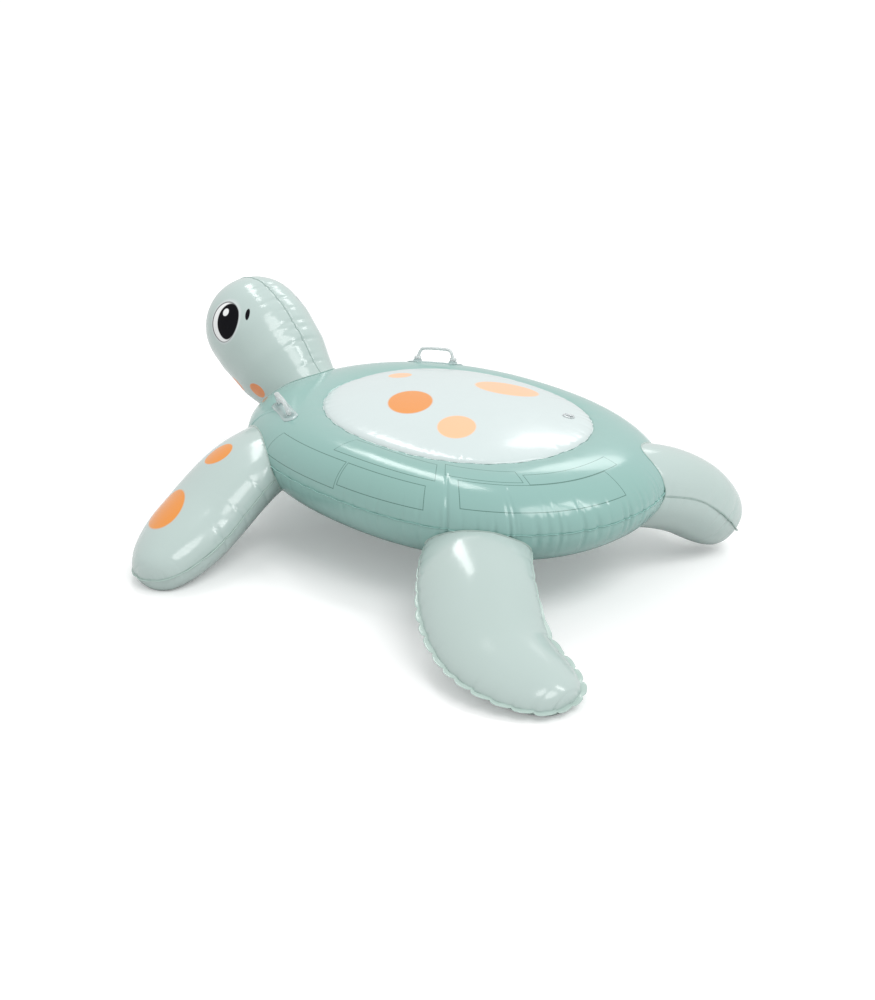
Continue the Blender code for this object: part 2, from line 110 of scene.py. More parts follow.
# Handles and valves, as in the CAD part
HANDLE_PLACE = (0.268, -0.330)
HANDLE_TURN = math.radians(-25)
HANDLE_LENGTH = 0.102
HANDLE_RISE = 0.027
HANDLE_CORNER = 0.016
BAR = 0.0045
FOOT_RADIUS = 0.0060
FOOT_LENGTH = 0.018
FOOT_GAP = 0.0004
AXIS_HEIGHT = 0.0025 + FOOT_GAP + FOOT_RADIUS
PAD_LENGTH, PAD_WIDTH, PAD_THICKNESS = 0.160, 0.040, 0.0018
CRADLE_HALF_WIDTH = 0.0105
CRADLE_SHOULDER = 0.0040
CRADLE_ROOT = -0.0045
FLANGE_RADIUS = 0.0150
FLANGE_TOP = 0.0016
STEM_RADIUS = 0.0062
STEM_BORE = 0.0045
STEM_LENGTH = 0.020
CAP_RADIUS = 0.0070
CAP_GAP = 0.0004
CAP_THICKNESS = 0.0020
PLUG_RADIUS = 0.0031
PLUG_LENGTH = 0.0050
STRAP_REACH = 0.0110
STRAP_WIDTH = 0.0050
PIN_RADIUS = 0.0015
PIN_HEIGHT = 0.0016
HOLE_RADIUS = STEM_RADIUS + 0.0030
VALVE_NORMALS = {
    "seat_valve": Vector((-0.150 * 0.75, 0.262 * 0.45, 1.0)).normalized(),
    "shell_valve": Vector((0.0, 0.0, -1.0)),
}


# ---------------------------------------------------------------- mesh helpers

def cleaned(data):
    """Joins points that meet, drops faces with no area and makes the others agree."""
    shape = bmesh.new()
    shape.from_mesh(data)
    bmesh.ops.remove_doubles(shape, verts=shape.verts, dist=MERGE)
    bmesh.ops.dissolve_degenerate(shape, edges=shape.edges, dist=MERGE)
    bmesh.ops.recalc_face_normals(shape, faces=shape.faces)
    shape.to_mesh(data)
    shape.free()


def linked(name, data, material):
    """A new object in the scene for a mesh."""
    made = bpy.data.objects.new(name, data)
    bpy.context.scene.collection.objects.link(made)
    data.materials.append(material)
    return made


def mesh_object(name, points, faces, material, smooth=True):
    data = bpy.data.meshes.new(name)
    data.from_pydata([tuple(p) for p in points], [], faces)
    cleaned(data)
    if smooth:
        data.shade_smooth()
    return linked(name, data, material)


def grid_faces(rows, columns, wrap):
    faces = []
    for i in range(rows - 1):
        for j in range(columns if wrap else columns - 1):
            k = (j + 1) % columns
            a, b = i * columns, (i + 1) * columns
            faces.append((a + j, a + k, b + k, b + j))
    return faces


def grid_object(name, grid, wrap, material, marks=None):
    """A sheet from a grid of points. Marks are values kept at its points for the material to read."""
    rows, columns = grid.shape[:2]
    data = bpy.data.meshes.new(name)
    data.from_pydata([tuple(p) for p in grid.reshape(-1, 3)], [], grid_faces(rows, columns, wrap))
    for key, values in (marks or {}).items():
        layer = data.attributes.new(key, "FLOAT", "POINT")
        layer.data.foreach_set("value", np.ascontiguousarray(values, np.float32).ravel())
    cleaned(data)
    data.shade_smooth()
    return linked(name, data, material)


def face_away(made, centre):
    """Turns a sheet's faces so that they look away from a point, and gives it the film's thickness."""
    data = made.data
    total = 0.0
    for polygon in data.polygons:
        total += polygon.area * polygon.normal.dot(polygon.center - Vector(centre))
    if total < 0:
        data.flip_normals()
    film = made.modifiers.new("film", "SOLIDIFY")
    film.thickness = SHEET
    film.offset = -1.0
    return made


def grid_normals(grid, wrap):
    """Unit normals of a grid, by differences along its rows and columns."""
    down = np.gradient(grid, axis=0)
    if wrap:
        across = (np.roll(grid, -1, axis=1) - np.roll(grid, 1, axis=1)) / 2
    else:
        across = np.gradient(grid, axis=1)
    normal = np.cross(down, across)
    length = np.linalg.norm(normal, axis=2, keepdims=True)
    return normal / np.maximum(length, 1e-12)


def lengths_along(points):
    """Distance along a line of points, from its first."""
    steps = np.linalg.norm(np.diff(points, axis=0), axis=1)
    return np.concatenate([[0.0], np.cumsum(steps)])


def tube_object(name, sections, material, closed):
    """A solid swept through sections, each a ring of points. Closed joins the last to the first."""
    count, sides = sections.shape[:2]
    faces = []
    for i in range(count if closed else count - 1):
        n = (i + 1) % count
        for j in range(sides):
            k = (j + 1) % sides
            faces.append((i * sides + j, i * sides + k, n * sides + k, n * sides + j))
    if not closed:
        faces.append(tuple(range(sides)))
        faces.append(tuple(range((count - 1) * sides, count * sides)))
    return mesh_object(name, sections.reshape(-1, 3), faces, material)


def ribbon_object(name, line, outward, upward, half_width, half_thickness, material, closed):
    """A flat weld along a line: it reaches half_width to each side along outward, with round edges."""
    turns = np.linspace(0, 2 * np.pi, 10, endpoint=False)
    sections = (line[:, None, :]
                + outward[:, None, :] * (half_width[:, None] * np.cos(turns))[..., None]
                + upward[:, None, :] * (half_thickness * np.sin(turns))[None, :, None])
    return tube_object(name, sections, material, closed)


# ---------------------------------------------------------------- materials

def new_material(name):
    made = bpy.data.materials.new(name)
    made.use_nodes = True
    return made, made.node_tree.nodes, made.node_tree.links


def math_node(nodes, links, operation, first, second=None, third=None):
    node = nodes.new("ShaderNodeMath")
    node.operation = operation
    for k, value in enumerate((first, second, third)):
        if value is None:
            continue
        if isinstance(value, (int, float)):
            node.inputs[k].default_value = value
        else:
            links.new(value, node.inputs[k])
    return node.outputs[0]


def mix_colour(nodes, links, factor, first, second):
    node = nodes.new("ShaderNodeMix")
    node.data_type = "RGBA"
    for key, value in ((0, factor), (6, first), (7, second)):
        if isinstance(value, (int, float)):
            node.inputs[key].default_value = value
        elif isinstance(value, tuple):
            node.inputs[key].default_value = (*value, 1.0)
        else:
            links.new(value, node.inputs[key])
    return node.outputs[2]


def blend_value(nodes, links, factor, first, second):
    """First where the factor is 0 and second where it is 1."""
    kept = math_node(nodes, links, "SUBTRACT", 1.0, factor)
    start = math_node(nodes, links, "MULTIPLY", kept, first)
    return math_node(nodes, links, "MULTIPLY_ADD", factor, second, start)


def spot_factor(nodes, links, place, spot):
    """1 inside an oval spot in space and 0 outside it, with a soft printed edge."""
    centre, turn, radii = spot["centre"], spot.get("turn", 0.0), spot["radii"]
    mapping = nodes.new("ShaderNodeMapping")
    mapping.vector_type = "TEXTURE"
    mapping.inputs["Location"].default_value = centre
    mapping.inputs["Rotation"].default_value = (spot.get("tilt", 0.0), 0.0, turn)
    mapping.inputs["Scale"].default_value = radii
    links.new(place, mapping.inputs["Vector"])
    length = nodes.new("ShaderNodeVectorMath")
    length.operation = "LENGTH"
    links.new(mapping.outputs[0], length.inputs[0])
    edge = nodes.new("ShaderNodeMapRange")
    edge.interpolation_type = "SMOOTHSTEP"
    soft = spot.get("soft", 0.05)
    edge.inputs["From Min"].default_value = 1 + soft
    edge.inputs["From Max"].default_value = 1 - soft
    links.new(length.outputs["Value"], edge.inputs["Value"])
    return edge.outputs[0]


def panel_factor(nodes, links, along, across, panel):
    """1 on the thin outline of a printed rectangle, whose middle and half sizes are in metres."""
    middle_u, middle_v, half_u, half_v = panel
    du = math_node(nodes, links, "ABSOLUTE", math_node(nodes, links, "SUBTRACT", along, middle_u))
    dv = math_node(nodes, links, "ABSOLUTE", math_node(nodes, links, "SUBTRACT", across, middle_v))
    reach = math_node(nodes, links, "MAXIMUM", math_node(nodes, links, "SUBTRACT", du, half_u),
                      math_node(nodes, links, "SUBTRACT", dv, half_v))
    return math_node(nodes, links, "LESS_THAN", math_node(nodes, links, "ABSOLUTE", reach), LINE_HALF_WIDTH)


# Scale and detail of each noise in the film
DRIFT, HAZE, RIPPLE, GRAIN, CLOUD = (3.2, 3.0), (14.0, 4.0), (9.0, 2.0), (420.0, 2.0), (60.0, 3.0)
COAT = 0.35
SPECULAR = 0.5
INK_GLOSS = 0.08
LINE_HALF_WIDTH = 0.0010
LINE_SHARE = 0.8
LINE_COLOUR = (0.055, 0.150, 0.125)


def noise(nodes, links, place, scale_and_detail):
    node = nodes.new("ShaderNodeTexNoise")
    node.inputs["Scale"].default_value, node.inputs["Detail"].default_value = scale_and_detail
    links.new(place, node.inputs["Vector"])
    return node.outputs["Fac"]


def attribute(nodes, name):
    node = nodes.new("ShaderNodeAttribute")
    node.attribute_name = name
    return node.outputs["Fac"]


def bump(nodes, links, shader, height, strength, distance):
    node = nodes.new("ShaderNodeBump")
    node.inputs["Strength"].default_value = strength
    node.inputs["Distance"].default_value = distance
    links.new(height, node.inputs["Height"])
    links.new(node.outputs[0], shader.inputs["Normal"])


def with_spots(nodes, links, place, base, spots):
    """The colour with its printed spots over it, and the share of gloss left where the ink is black."""
    shine = None
    for spot in spots:
        factor = spot_factor(nodes, links, place, spot)
        base = mix_colour(nodes, links, factor, base, spot["colour"])
        if spot["colour"] == INK or shine is not None:
            shine = blend_value(nodes, links, factor, 1.0 if shine is None else shine,
                                INK_GLOSS if spot["colour"] == INK else 1.0)
    return base, shine


def with_panels(nodes, links, base, panels):
    u, v = attribute(nodes, "along"), attribute(nodes, "across")
    for panel in panels:
        factor = math_node(nodes, links, "MULTIPLY", panel_factor(nodes, links, u, v, panel), LINE_SHARE)
        base = mix_colour(nodes, links, factor, base, LINE_COLOUR)
    return base


def vinyl(name, colour, tint, roughness=0.17, spots=(), panels=()):
    """Glossy welded film: two close tints that drift over the surface, faint ripples and printed marks."""
    made, nodes, links = new_material(name)
    shader = nodes["Principled BSDF"]
    place = nodes.new("ShaderNodeTexCoord").outputs["Object"]
    base = mix_colour(nodes, links, noise(nodes, links, place, DRIFT), colour, tint)
    base, shine = with_spots(nodes, links, place, base, spots)
    if panels:
        base = with_panels(nodes, links, base, panels)
    links.new(base, shader.inputs["Base Color"])
    shader.inputs["IOR"].default_value = 1.53
    shader.inputs["Coat Weight"].default_value = COAT
    shader.inputs["Coat Roughness"].default_value = 0.08
    if shine is not None:
        links.new(math_node(nodes, links, "MULTIPLY", shine, SPECULAR), shader.inputs["Specular IOR Level"])
        links.new(math_node(nodes, links, "MULTIPLY", shine, COAT), shader.inputs["Coat Weight"])
    gloss = nodes.new("ShaderNodeMapRange")
    gloss.inputs["To Min"].default_value = roughness - 0.05
    gloss.inputs["To Max"].default_value = roughness + 0.09
    links.new(noise(nodes, links, place, HAZE), gloss.inputs["Value"])
    links.new(gloss.outputs[0], shader.inputs["Roughness"])
    ripple, grain = noise(nodes, links, place, RIPPLE), noise(nodes, links, place, GRAIN)
    height = math_node(nodes, links, "MULTIPLY_ADD", grain, 0.012, ripple)
    bump(nodes, links, shader, height, strength=0.22, distance=0.006)
    return made


def clear_vinyl(name, colour, roughness=0.16, through=0.35):
    """Soft moulded vinyl that light half passes through, a little milky and uneven."""
    made, nodes, links = new_material(name)
    shader = nodes["Principled BSDF"]
    cloud = noise(nodes, links, nodes.new("ShaderNodeTexCoord").outputs["Object"], CLOUD)
    paler = tuple(min(1.0, c * 1.12) for c in colour)
    links.new(mix_colour(nodes, links, cloud, colour, paler), shader.inputs["Base Color"])
    shader.inputs["Roughness"].default_value = roughness
    shader.inputs["IOR"].default_value = 1.50
    shader.inputs["Transmission Weight"].default_value = through
    shader.inputs["Coat Weight"].default_value = 0.5
    shader.inputs["Coat Roughness"].default_value = 0.06
    bump(nodes, links, shader, cloud, strength=0.25, distance=0.001)
    return made


def at(x, y, z):
    """A point given from the middle of the shell, in the frame."""
    return (CENTRE.x + x, CENTRE.y + y, z)


ORANGE = (0.80, 0.270, 0.022)
DEEP_ORANGE = (0.80, 0.26, 0.075)
PEACH = (0.93, 0.52, 0.28)
INK = (0.006, 0.006, 0.008)
WHITE = (0.86, 0.88, 0.88)

DOME_SPOTS = (
    {"centre": at(0.084, -0.060, 0.375), "radii": (0.080, 0.056, 0.2), "turn": 0.78, "colour": ORANGE},
    {"centre": at(0.120, 0.140, 0.370), "radii": (0.064, 0.047, 0.2), "turn": 0.78, "colour": PEACH},
    {"centre": at(-0.056, -0.245, 0.365), "radii": (0.026, 0.031, 0.2), "turn": 0.78, "colour": PEACH},
    {"centre": at(-0.168, 0.034, 0.370), "radii": (0.086, 0.051, 0.2), "turn": 1.92, "colour": PEACH},
)
FLIPPER_SPOTS = (
    {"centre": at(0.628, -0.362, 0.145), "radii": (0.077, 0.046, 0.12), "turn": 0.74, "colour": ORANGE},
    {"centre": at(0.447, -0.379, 0.235), "radii": (0.040, 0.036, 0.12), "turn": 0.74, "colour": ORANGE},
)
SPOT_PLACES = {
    "front_left": FLIPPER_SPOTS,
    "front_right": tuple({**spot, "centre": (2 * CENTRE.x - spot["centre"][0], *spot["centre"][1:]),
                          "turn": -spot["turn"]} for spot in FLIPPER_SPOTS),
    "rear_left": (),
    "rear_right": (),
}


THROUGH_HEAD = 0.30
EYE_RIM = (0.60, 0.66, 0.66)


def side_spot(y, z, half_y, half_z, tilt, colour, soft=0.03):
    """An oval seen from the side, which marks both panels of the head."""
    return {"centre": at(0, y, z), "radii": (THROUGH_HEAD, half_y, half_z), "tilt": tilt,
            "colour": colour, "soft": soft}


HEAD_MARKS = (
    side_spot(-0.745, 0.432, 0.055, 0.062, 0.31, EYE_RIM, 0.06),
    side_spot(-0.745, 0.432, 0.050, 0.057, 0.31, INK),
    side_spot(-0.744, 0.432, 0.047, 0.055, 0.31, WHITE),
    side_spot(-0.734, 0.436, 0.037, 0.050, 0.28, INK),
    side_spot(-0.747, 0.460, 0.010, 0.010, 0.31, WHITE, 0.10),
    side_spot(-0.685, 0.462, 0.005, 0.015, 0.48, INK, 0.10),
    side_spot(-0.626, 0.266, 0.027, 0.021, -0.39, DEEP_ORANGE, 0.05),
    side_spot(-0.718, 0.260, 0.032, 0.018, -0.30, DEEP_ORANGE, 0.05),
)

RING_COLOUR = (0.245, 0.440, 0.395)
RING_TINT = (0.275, 0.468, 0.438)
DOME_COLOUR = (0.605, 0.690, 0.685)
PALE_COLOUR = (0.455, 0.560, 0.525)
PALE_TINT = (0.485, 0.590, 0.570)


# ---------------------------------------------------------------- shape of the shell

def oval(theta, half_width, half_length, centre_y=0.0):
    power = 2.0 / SQUARENESS
    c, s = np.cos(theta), np.sin(theta)
    x = np.sign(c) * np.abs(c) ** power * half_width
    y = np.sign(s) * np.abs(s) ** power * half_length
    return x, y + centre_y


def share_of_oval(x, y, half_width, half_length):
    power = SQUARENESS
    return ((np.abs(x) / half_width) ** power + (np.abs(y) / half_length) ** power) ** (1 / power)


def ring_height(x, y):
    """Height of the ring's top sheet over points given from the middle of the shell."""
    outer = 1 / np.maximum(share_of_oval(x, y, HALF_WIDTH, HALF_LENGTH), 1e-6)
    inner = 1 / np.maximum(share_of_oval(x, y - DOME_Y, DOME_HALF_WIDTH, DOME_HALF_LENGTH), 1e-6)
    share = (1 - inner) / np.maximum(outer - inner, 1e-6)
    cosine = np.clip(1 - (1 - share) * (1 - math.cos(RING_TURN)), -1, 1)
    return SEAM_HEIGHT + RING_RISE * np.sin(np.arccos(cosine))


def belly_height(x, y):
    share = share_of_oval(x, y, HALF_WIDTH, HALF_LENGTH)
    bend = np.clip((share - BELLY_FLAT_SHARE) / (1 - BELLY_FLAT_SHARE), 0, 1)
    return SEAM_HEIGHT - BELLY_DROP * np.sqrt(1 - bend ** 2)


def inside_shell(points):
    """How deep points are inside the shell, in metres: positive is inside."""
    x, y, z = points[..., 0] - CENTRE.x, points[..., 1] - CENTRE.y, points[..., 2]
    share = share_of_oval(x, y, HALF_WIDTH, HALF_LENGTH)
    top = ring_height(x, y)
    low = belly_height(x, y)
    side = (1 - share) * HALF_WIDTH
    return np.where(share < 1, np.minimum(top - z, z - low), side)


def ring_normal(x, y):
    step = 0.012
    dx = (ring_height(x + step, y) - ring_height(x - step, y)) / (2 * step)
    dy = (ring_height(x, y + step) - ring_height(x, y - step)) / (2 * step)
    return Vector((-float(dx), -float(dy), 1.0)).normalized()


def pucker_places(seed, length, spacing, depth, reach, busy=None, even=False):
    """Places along a weld where the film puckers: (place, depth, width, reach), the same each run."""
    chance = np.random.default_rng(seed)
    found = []
    place = spacing * 0.5
    while place < length:
        strength = depth * chance.uniform(0.25, 1.0)
        if busy is not None:
            strength *= busy(place / length)
        found.append((place, strength, chance.uniform(0.0035, 0.0075), reach * chance.uniform(0.5, 1.3)))
        place += spacing * (chance.uniform(0.85, 1.2) if even else chance.uniform(0.55, 1.6))
    return found


def pucker_depth(places, along, away, length=None):
    """Depth of the puckers at distances along the weld and away from it."""
    total = np.zeros(np.broadcast(along, away).shape)
    for place, depth, width, reach in places:
        gap = along - place
        if length:
            gap = (gap + length / 2) % length - length / 2
        total += depth * np.exp(-(gap / width) ** 2) * np.exp(-(away / reach) ** 2)
    return total


AROUND = 960
THETA = np.linspace(0, 2 * np.pi, AROUND, endpoint=False)


def seam_line():
    x, y = oval(THETA, HALF_WIDTH, HALF_LENGTH)
    return np.stack([x + CENTRE.x, y + CENTRE.y, np.full(AROUND, SEAM_HEIGHT)], axis=1)


SEAM = seam_line()
SEAM_ALONG = lengths_along(SEAM)
SEAM_LENGTH = SEAM_ALONG[-1] + np.linalg.norm(SEAM[0] - SEAM[-1])


def hump(share, middle, spread):
    return math.exp(-((share - middle) / spread) ** 2)


def rear_is_busy(share):
    """Puckers crowd towards the rear, a quarter of the way round from the turtle's left."""
    return 0.22 + 0.90 * hump(share, 0.21, 0.11) + 0.3 * hump(share, 0.75, 0.1)


RING_PUCKERS = pucker_places(11, SEAM_LENGTH, 0.030, 0.0056, 0.052, rear_is_busy)
LONG_CREASES = [(SEAM_LENGTH * share, depth, 0.0040, 0.105)
                for share, depth in ((0.108, 0.0045), (0.158, 0.0022), (0.655, 0.003), (0.86, 0.0035))]


def ring_marks(grid):
    """Distance along the seam and distance from it, for the printed outlines."""
    steps = np.linalg.norm(np.diff(grid, axis=0), axis=2)
    away = np.concatenate([np.zeros((1, grid.shape[1])), np.cumsum(steps, axis=0)])
    along = np.broadcast_to(SEAM_ALONG, away.shape)
    return along, away


def wrapped(along):
    """Distance along the seam counted from the turtle's left, backwards as well as forwards."""
    return (along + SEAM_LENGTH / 2) % SEAM_LENGTH - SEAM_LENGTH / 2


# Rows of each sheet, which crowd towards the seam, the groove beside it, and the waves at the seat
RING_ROWS, RING_CROWD = 50, 1.12
BELLY_ROWS, BELLY_CROWD, BELLY_RINGS, BELLY_LIFT = 36, 1.1, 8, 0.0010
GROOVE, GROOVE_REACH = 0.0008, 0.0045
WAVE_DEPTH, WAVE_LENGTH, WAVE_DRIFT = 0.0012, 0.016, 0.21


def seam_depth(along, away):
    """Depth of the puckers and of the groove beside the shell's seam."""
    puckers = pucker_depth(RING_PUCKERS + LONG_CREASES, along, away, SEAM_LENGTH)
    return puckers + GROOVE * np.exp(-(away / GROOVE_REACH))


def pressed(grid, depth, centre):
    """A wrapped grid moved in along its normals, by a depth at each point."""
    normal = grid_normals(grid, True)
    outward = np.sign((normal * (grid - np.array(centre))).sum(2).mean())
    return grid - normal * outward * depth[..., None]


def make_ring_top(material):
    angle = RING_TURN * (np.linspace(0, 1, RING_ROWS) ** RING_CROWD)[:, None]
    share = 1 - (1 - np.cos(angle)) / (1 - math.cos(RING_TURN))
    outer_x, outer_y = oval(THETA, HALF_WIDTH, HALF_LENGTH)
    inner_x, inner_y = oval(THETA, DOME_HALF_WIDTH, DOME_HALF_LENGTH, DOME_Y)
    x = inner_x + (outer_x - inner_x) * share + CENTRE.x
    y = inner_y + (outer_y - inner_y) * share + CENTRE.y
    z = np.broadcast_to(SEAM_HEIGHT + RING_RISE * np.sin(angle), x.shape)
    grid = np.stack([x, y, z], axis=2)
    along, away = ring_marks(grid)
    wave = 0.5 + 0.5 * np.sin(along / WAVE_LENGTH + 2.2 * np.sin(along / WAVE_DRIFT))
    near_seat = np.exp(-((away[-1] - away) / WAVE_LENGTH))
    depth = seam_depth(along, away) + WAVE_DEPTH * wave * near_seat
    grid = pressed(grid, depth, at(0, 0, SEAM_HEIGHT - 0.05))
    made = grid_object("ring_top", grid, True, material, {"along": wrapped(along), "across": away})
    return face_away(made, at(0, 0, 0.1)), grid


def make_ring_bottom(material):
    angle = (np.pi / 2 * (np.linspace(0, 1, BELLY_ROWS) ** BELLY_CROWD))[:, None]
    share = BELLY_FLAT_SHARE + (1 - BELLY_FLAT_SHARE) * np.cos(angle)
    x, y = oval(THETA, HALF_WIDTH, HALF_LENGTH)
    height = SEAM_HEIGHT - SEAM_GAP - (BELLY_DROP - SEAM_GAP) * np.sin(angle)
    z = np.broadcast_to(height, (BELLY_ROWS, AROUND))
    curved = np.stack([x * share + CENTRE.x, y * share + CENTRE.y, z], axis=2)
    curved = pressed(curved, seam_depth(*ring_marks(curved)), at(0, 0, SEAM_HEIGHT + 0.05))
    flat = []
    for part in np.linspace(BELLY_FLAT_SHARE, 0, BELLY_RINGS + 1)[1:]:
        level = np.full(AROUND, BELLY_LOW.z + BELLY_LIFT * (1 - part / BELLY_FLAT_SHARE))
        flat.append(np.stack([x * part + CENTRE.x, y * part + CENTRE.y, level], axis=1))
    grid = np.concatenate([curved, np.array(flat)])
    made = grid_object("ring_bottom", grid, True, material)
    drill(made, valve_frame("shell_valve"))
    return face_away(made, at(0, 0, 0.3))


def drill(made, placed):
    """Removes the faces of a sheet inside a valve's flange, where its stem goes through."""
    inverse = placed.inverted()
    shape = bmesh.new()
    shape.from_mesh(made.data)
    doomed = []
    for face in shape.faces:
        local = inverse @ face.calc_center_median()
        if math.hypot(local.x, local.y) < HOLE_RADIUS and abs(local.z) < 0.03:
            doomed.append(face)
    bmesh.ops.delete(shape, geom=doomed, context="FACES")
    shape.to_mesh(made.data)
    shape.free()


def make_equator_weld(material, seam):
    """The welded lip round the seam, crimped where the film puckers."""
    crimp = pucker_depth(RING_PUCKERS + LONG_CREASES, SEAM_ALONG, 0.0, SEAM_LENGTH)
    outward = np.stack([seam[:, 0] - CENTRE.x, (seam[:, 1] - CENTRE.y) * (HALF_WIDTH / HALF_LENGTH) ** 2,
                        np.zeros(len(seam))], axis=1)
    outward /= np.linalg.norm(outward, axis=1, keepdims=True)
    upward = np.tile([0.0, 0.0, 1.0], (len(seam), 1))
    wave = 0.0007 * np.sin(SEAM_ALONG / 0.011 + 3 * np.sin(SEAM_ALONG / 0.13))
    line = seam + outward * 0.0006 + upward * (wave - 0.0002)[:, None]
    half_width = 0.0026 - np.clip(crimp, 0, 0.003) * 0.25
    return ribbon_object("equator_weld", line, outward, upward, half_width, 0.00055, material, True)


def dome_profile(step):
    """Share of the dome's width and height over its edge at a step from 0 at the edge to 1 at its top."""
    angle = np.pi / 2 * step
    return np.cos(angle), np.sin(angle) ** 1.15


def make_dome(material):
    rows, columns = 44, 380
    theta = np.linspace(0, 2 * np.pi, columns, endpoint=False)
    step = np.linspace(0, 1, rows)
    share, rise = dome_profile(step)
    x, y = oval(theta, DOME_HALF_WIDTH, DOME_HALF_LENGTH, DOME_Y)
    gx = x[None, :] * share[:, None] + CENTRE.x
    gy = (y[None, :] - DOME_Y) * share[:, None] + DOME_Y + CENTRE.y
    gz = np.broadcast_to((DOME_LOW.z + (DOME_TOP - DOME_LOW.z) * rise)[:, None], gx.shape)
    grid = np.stack([gx, gy, gz], axis=2)
    edge_line = grid[0]
    along = lengths_along(edge_line)
    length = along[-1] + np.linalg.norm(edge_line[0] - edge_line[-1])
    steps = np.linalg.norm(np.diff(grid, axis=0), axis=2)
    away = np.concatenate([np.zeros((1, columns)), np.cumsum(steps, axis=0)])
    places = pucker_places(5, length, 0.036, 0.0013, 0.032)
    depth = pucker_depth(places, along[None, :], away, length)
    grid = grid.copy()
    grid[..., 2] -= depth + 0.0010 * np.exp(-(away / 0.006))
    made = grid_object("seat_dome", grid, True, material)
    drill(made, valve_frame("seat_valve"))
    face_away(made, at(0, 0, 0.1))
    return made, grid[0]


def make_dome_weld(material, edge):
    """The pale line where the seat's film is welded into the ring."""
    outward = np.stack([edge[:, 0] - CENTRE.x, edge[:, 1] - CENTRE.y - DOME_Y, np.zeros(len(edge))], axis=1)
    outward /= np.linalg.norm(outward, axis=1, keepdims=True)
    upward = np.tile([0.0, 0.0, 1.0], (len(edge), 1))
    half_width = np.full(len(edge), 0.0018)
    return ribbon_object("dome_weld", edge + upward * 0.0004, outward, upward, half_width, 0.0005,
                         material, True)


# ---------------------------------------------------------------- flippers and head

def smooth_points(points, shares):
    """Points along a Catmull-Rom curve at shares of its length."""
    points = np.array(points, float)
    spans = len(points) - 1
    k = np.minimum((shares * spans).astype(int), spans - 1)
    u = (shares * spans - k)[:, None]
    p0, p1, p2, p3 = (points[np.clip(k + i, 0, spans)] for i in (-1, 0, 1, 2))
    return (p1 * 2 + (p2 - p0) * u + (p0 * 2 - p1 * 5 + p2 * 4 - p3) * u ** 2
            + (p1 * 3 - p0 - p2 * 3 + p3) * u ** 3) / 2


def unit(vectors):
    return vectors / np.maximum(np.linalg.norm(vectors, axis=-1, keepdims=True), 1e-12)


def flipper_fullness(t):
    root = 0.86 + 0.14 * np.sin(np.pi * np.minimum(t / 0.9, 1.0))
    tip = np.sqrt(np.maximum(0.0, 1 - np.maximum(0.0, (t - 0.70) / 0.30) ** 2))
    return root * tip


def trim_to_shell(grid):
    """Ends a balloon's rows on the shell's surface: points inside it move along to where they leave it."""
    grid = grid.copy()
    depth = inside_shell(grid)
    for j in range(grid.shape[1]):
        outside = np.nonzero(depth[:, j] <= 0)[0]
        first = outside[0] if len(outside) else len(grid) - 1
        if first == 0:
            continue
        a, b = depth[first - 1, j], depth[first, j]
        crossing = grid[first - 1, j] + (grid[first, j] - grid[first - 1, j]) * (a / (a - b))
        grid[:first, j] = crossing
    return grid


def tuck_under(grid, rows):
    """Lifts the first rows of a balloon that would hang below the belly up to inside the shell."""
    lowest = belly_height(grid[0, :, 0] - CENTRE.x, grid[0, :, 1] - CENTRE.y)
    lift = np.maximum(lowest + 0.003 - grid[0, :, 2], 0)
    fade = np.clip(1 - np.arange(len(grid)) / rows, 0, 1) ** 2
    grid[..., 2] += lift * fade[:, None]


FLIPPER_ROWS, FLIPPER_COLUMNS, ROWS_TO_TIP = 190, 40, 1.6
HEAD_ROWS, HEAD_COLUMNS = 150, 60
# Spacing, depth and reach of puckers
REAR_PUCKERS, FRONT_PUCKERS = (0.046, 0.0038, 0.045), (0.058, 0.0034, 0.045)
SMALL_PUCKERS = (0.024, 0.0012, 0.020)
NAPE_PUCKERS, THROAT_PUCKERS = (0.032, 0.0034, 0.046), (0.045, 0.0016, 0.022)
FLOOR_GAP = 0.0004


def directions(spine, shares):
    """Unit directions along a curve through points, at shares of its length."""
    ahead = smooth_points(spine, np.minimum(shares + SPINE_STEP, 1))
    return unit(ahead - smooth_points(spine, np.maximum(shares - SPINE_STEP, 0)))


def flipper_form(shape):
    """A flipper before its puckers: its line, its directions and its half sizes, row by row."""
    t = 1 - (1 - np.linspace(0, 1, FLIPPER_ROWS)) ** ROWS_TO_TIP
    along = directions(shape["spine"], t)
    level = unit(np.cross([0.0, 0.0, 1.0], along))
    upright = unit(np.cross(along, level))
    roll = math.radians(shape["roll"])
    full = flipper_fullness(t)
    even = np.linspace(0, 1, FLIPPER_COLUMNS)
    return SimpleNamespace(
        t=t,
        here=smooth_points(shape["spine"], t),
        across=level * math.cos(roll) + upright * math.sin(roll),
        normal=upright * math.cos(roll) - level * math.sin(roll),
        chord=full * shape["half_chord"],
        thick=full ** 0.7 * shape["half_thickness"],
        turn=np.pi * (even - 0.060 * np.sin(2 * np.pi * even)),
        flip=np.array([shape["side"], 1.0, 1.0]),
    )


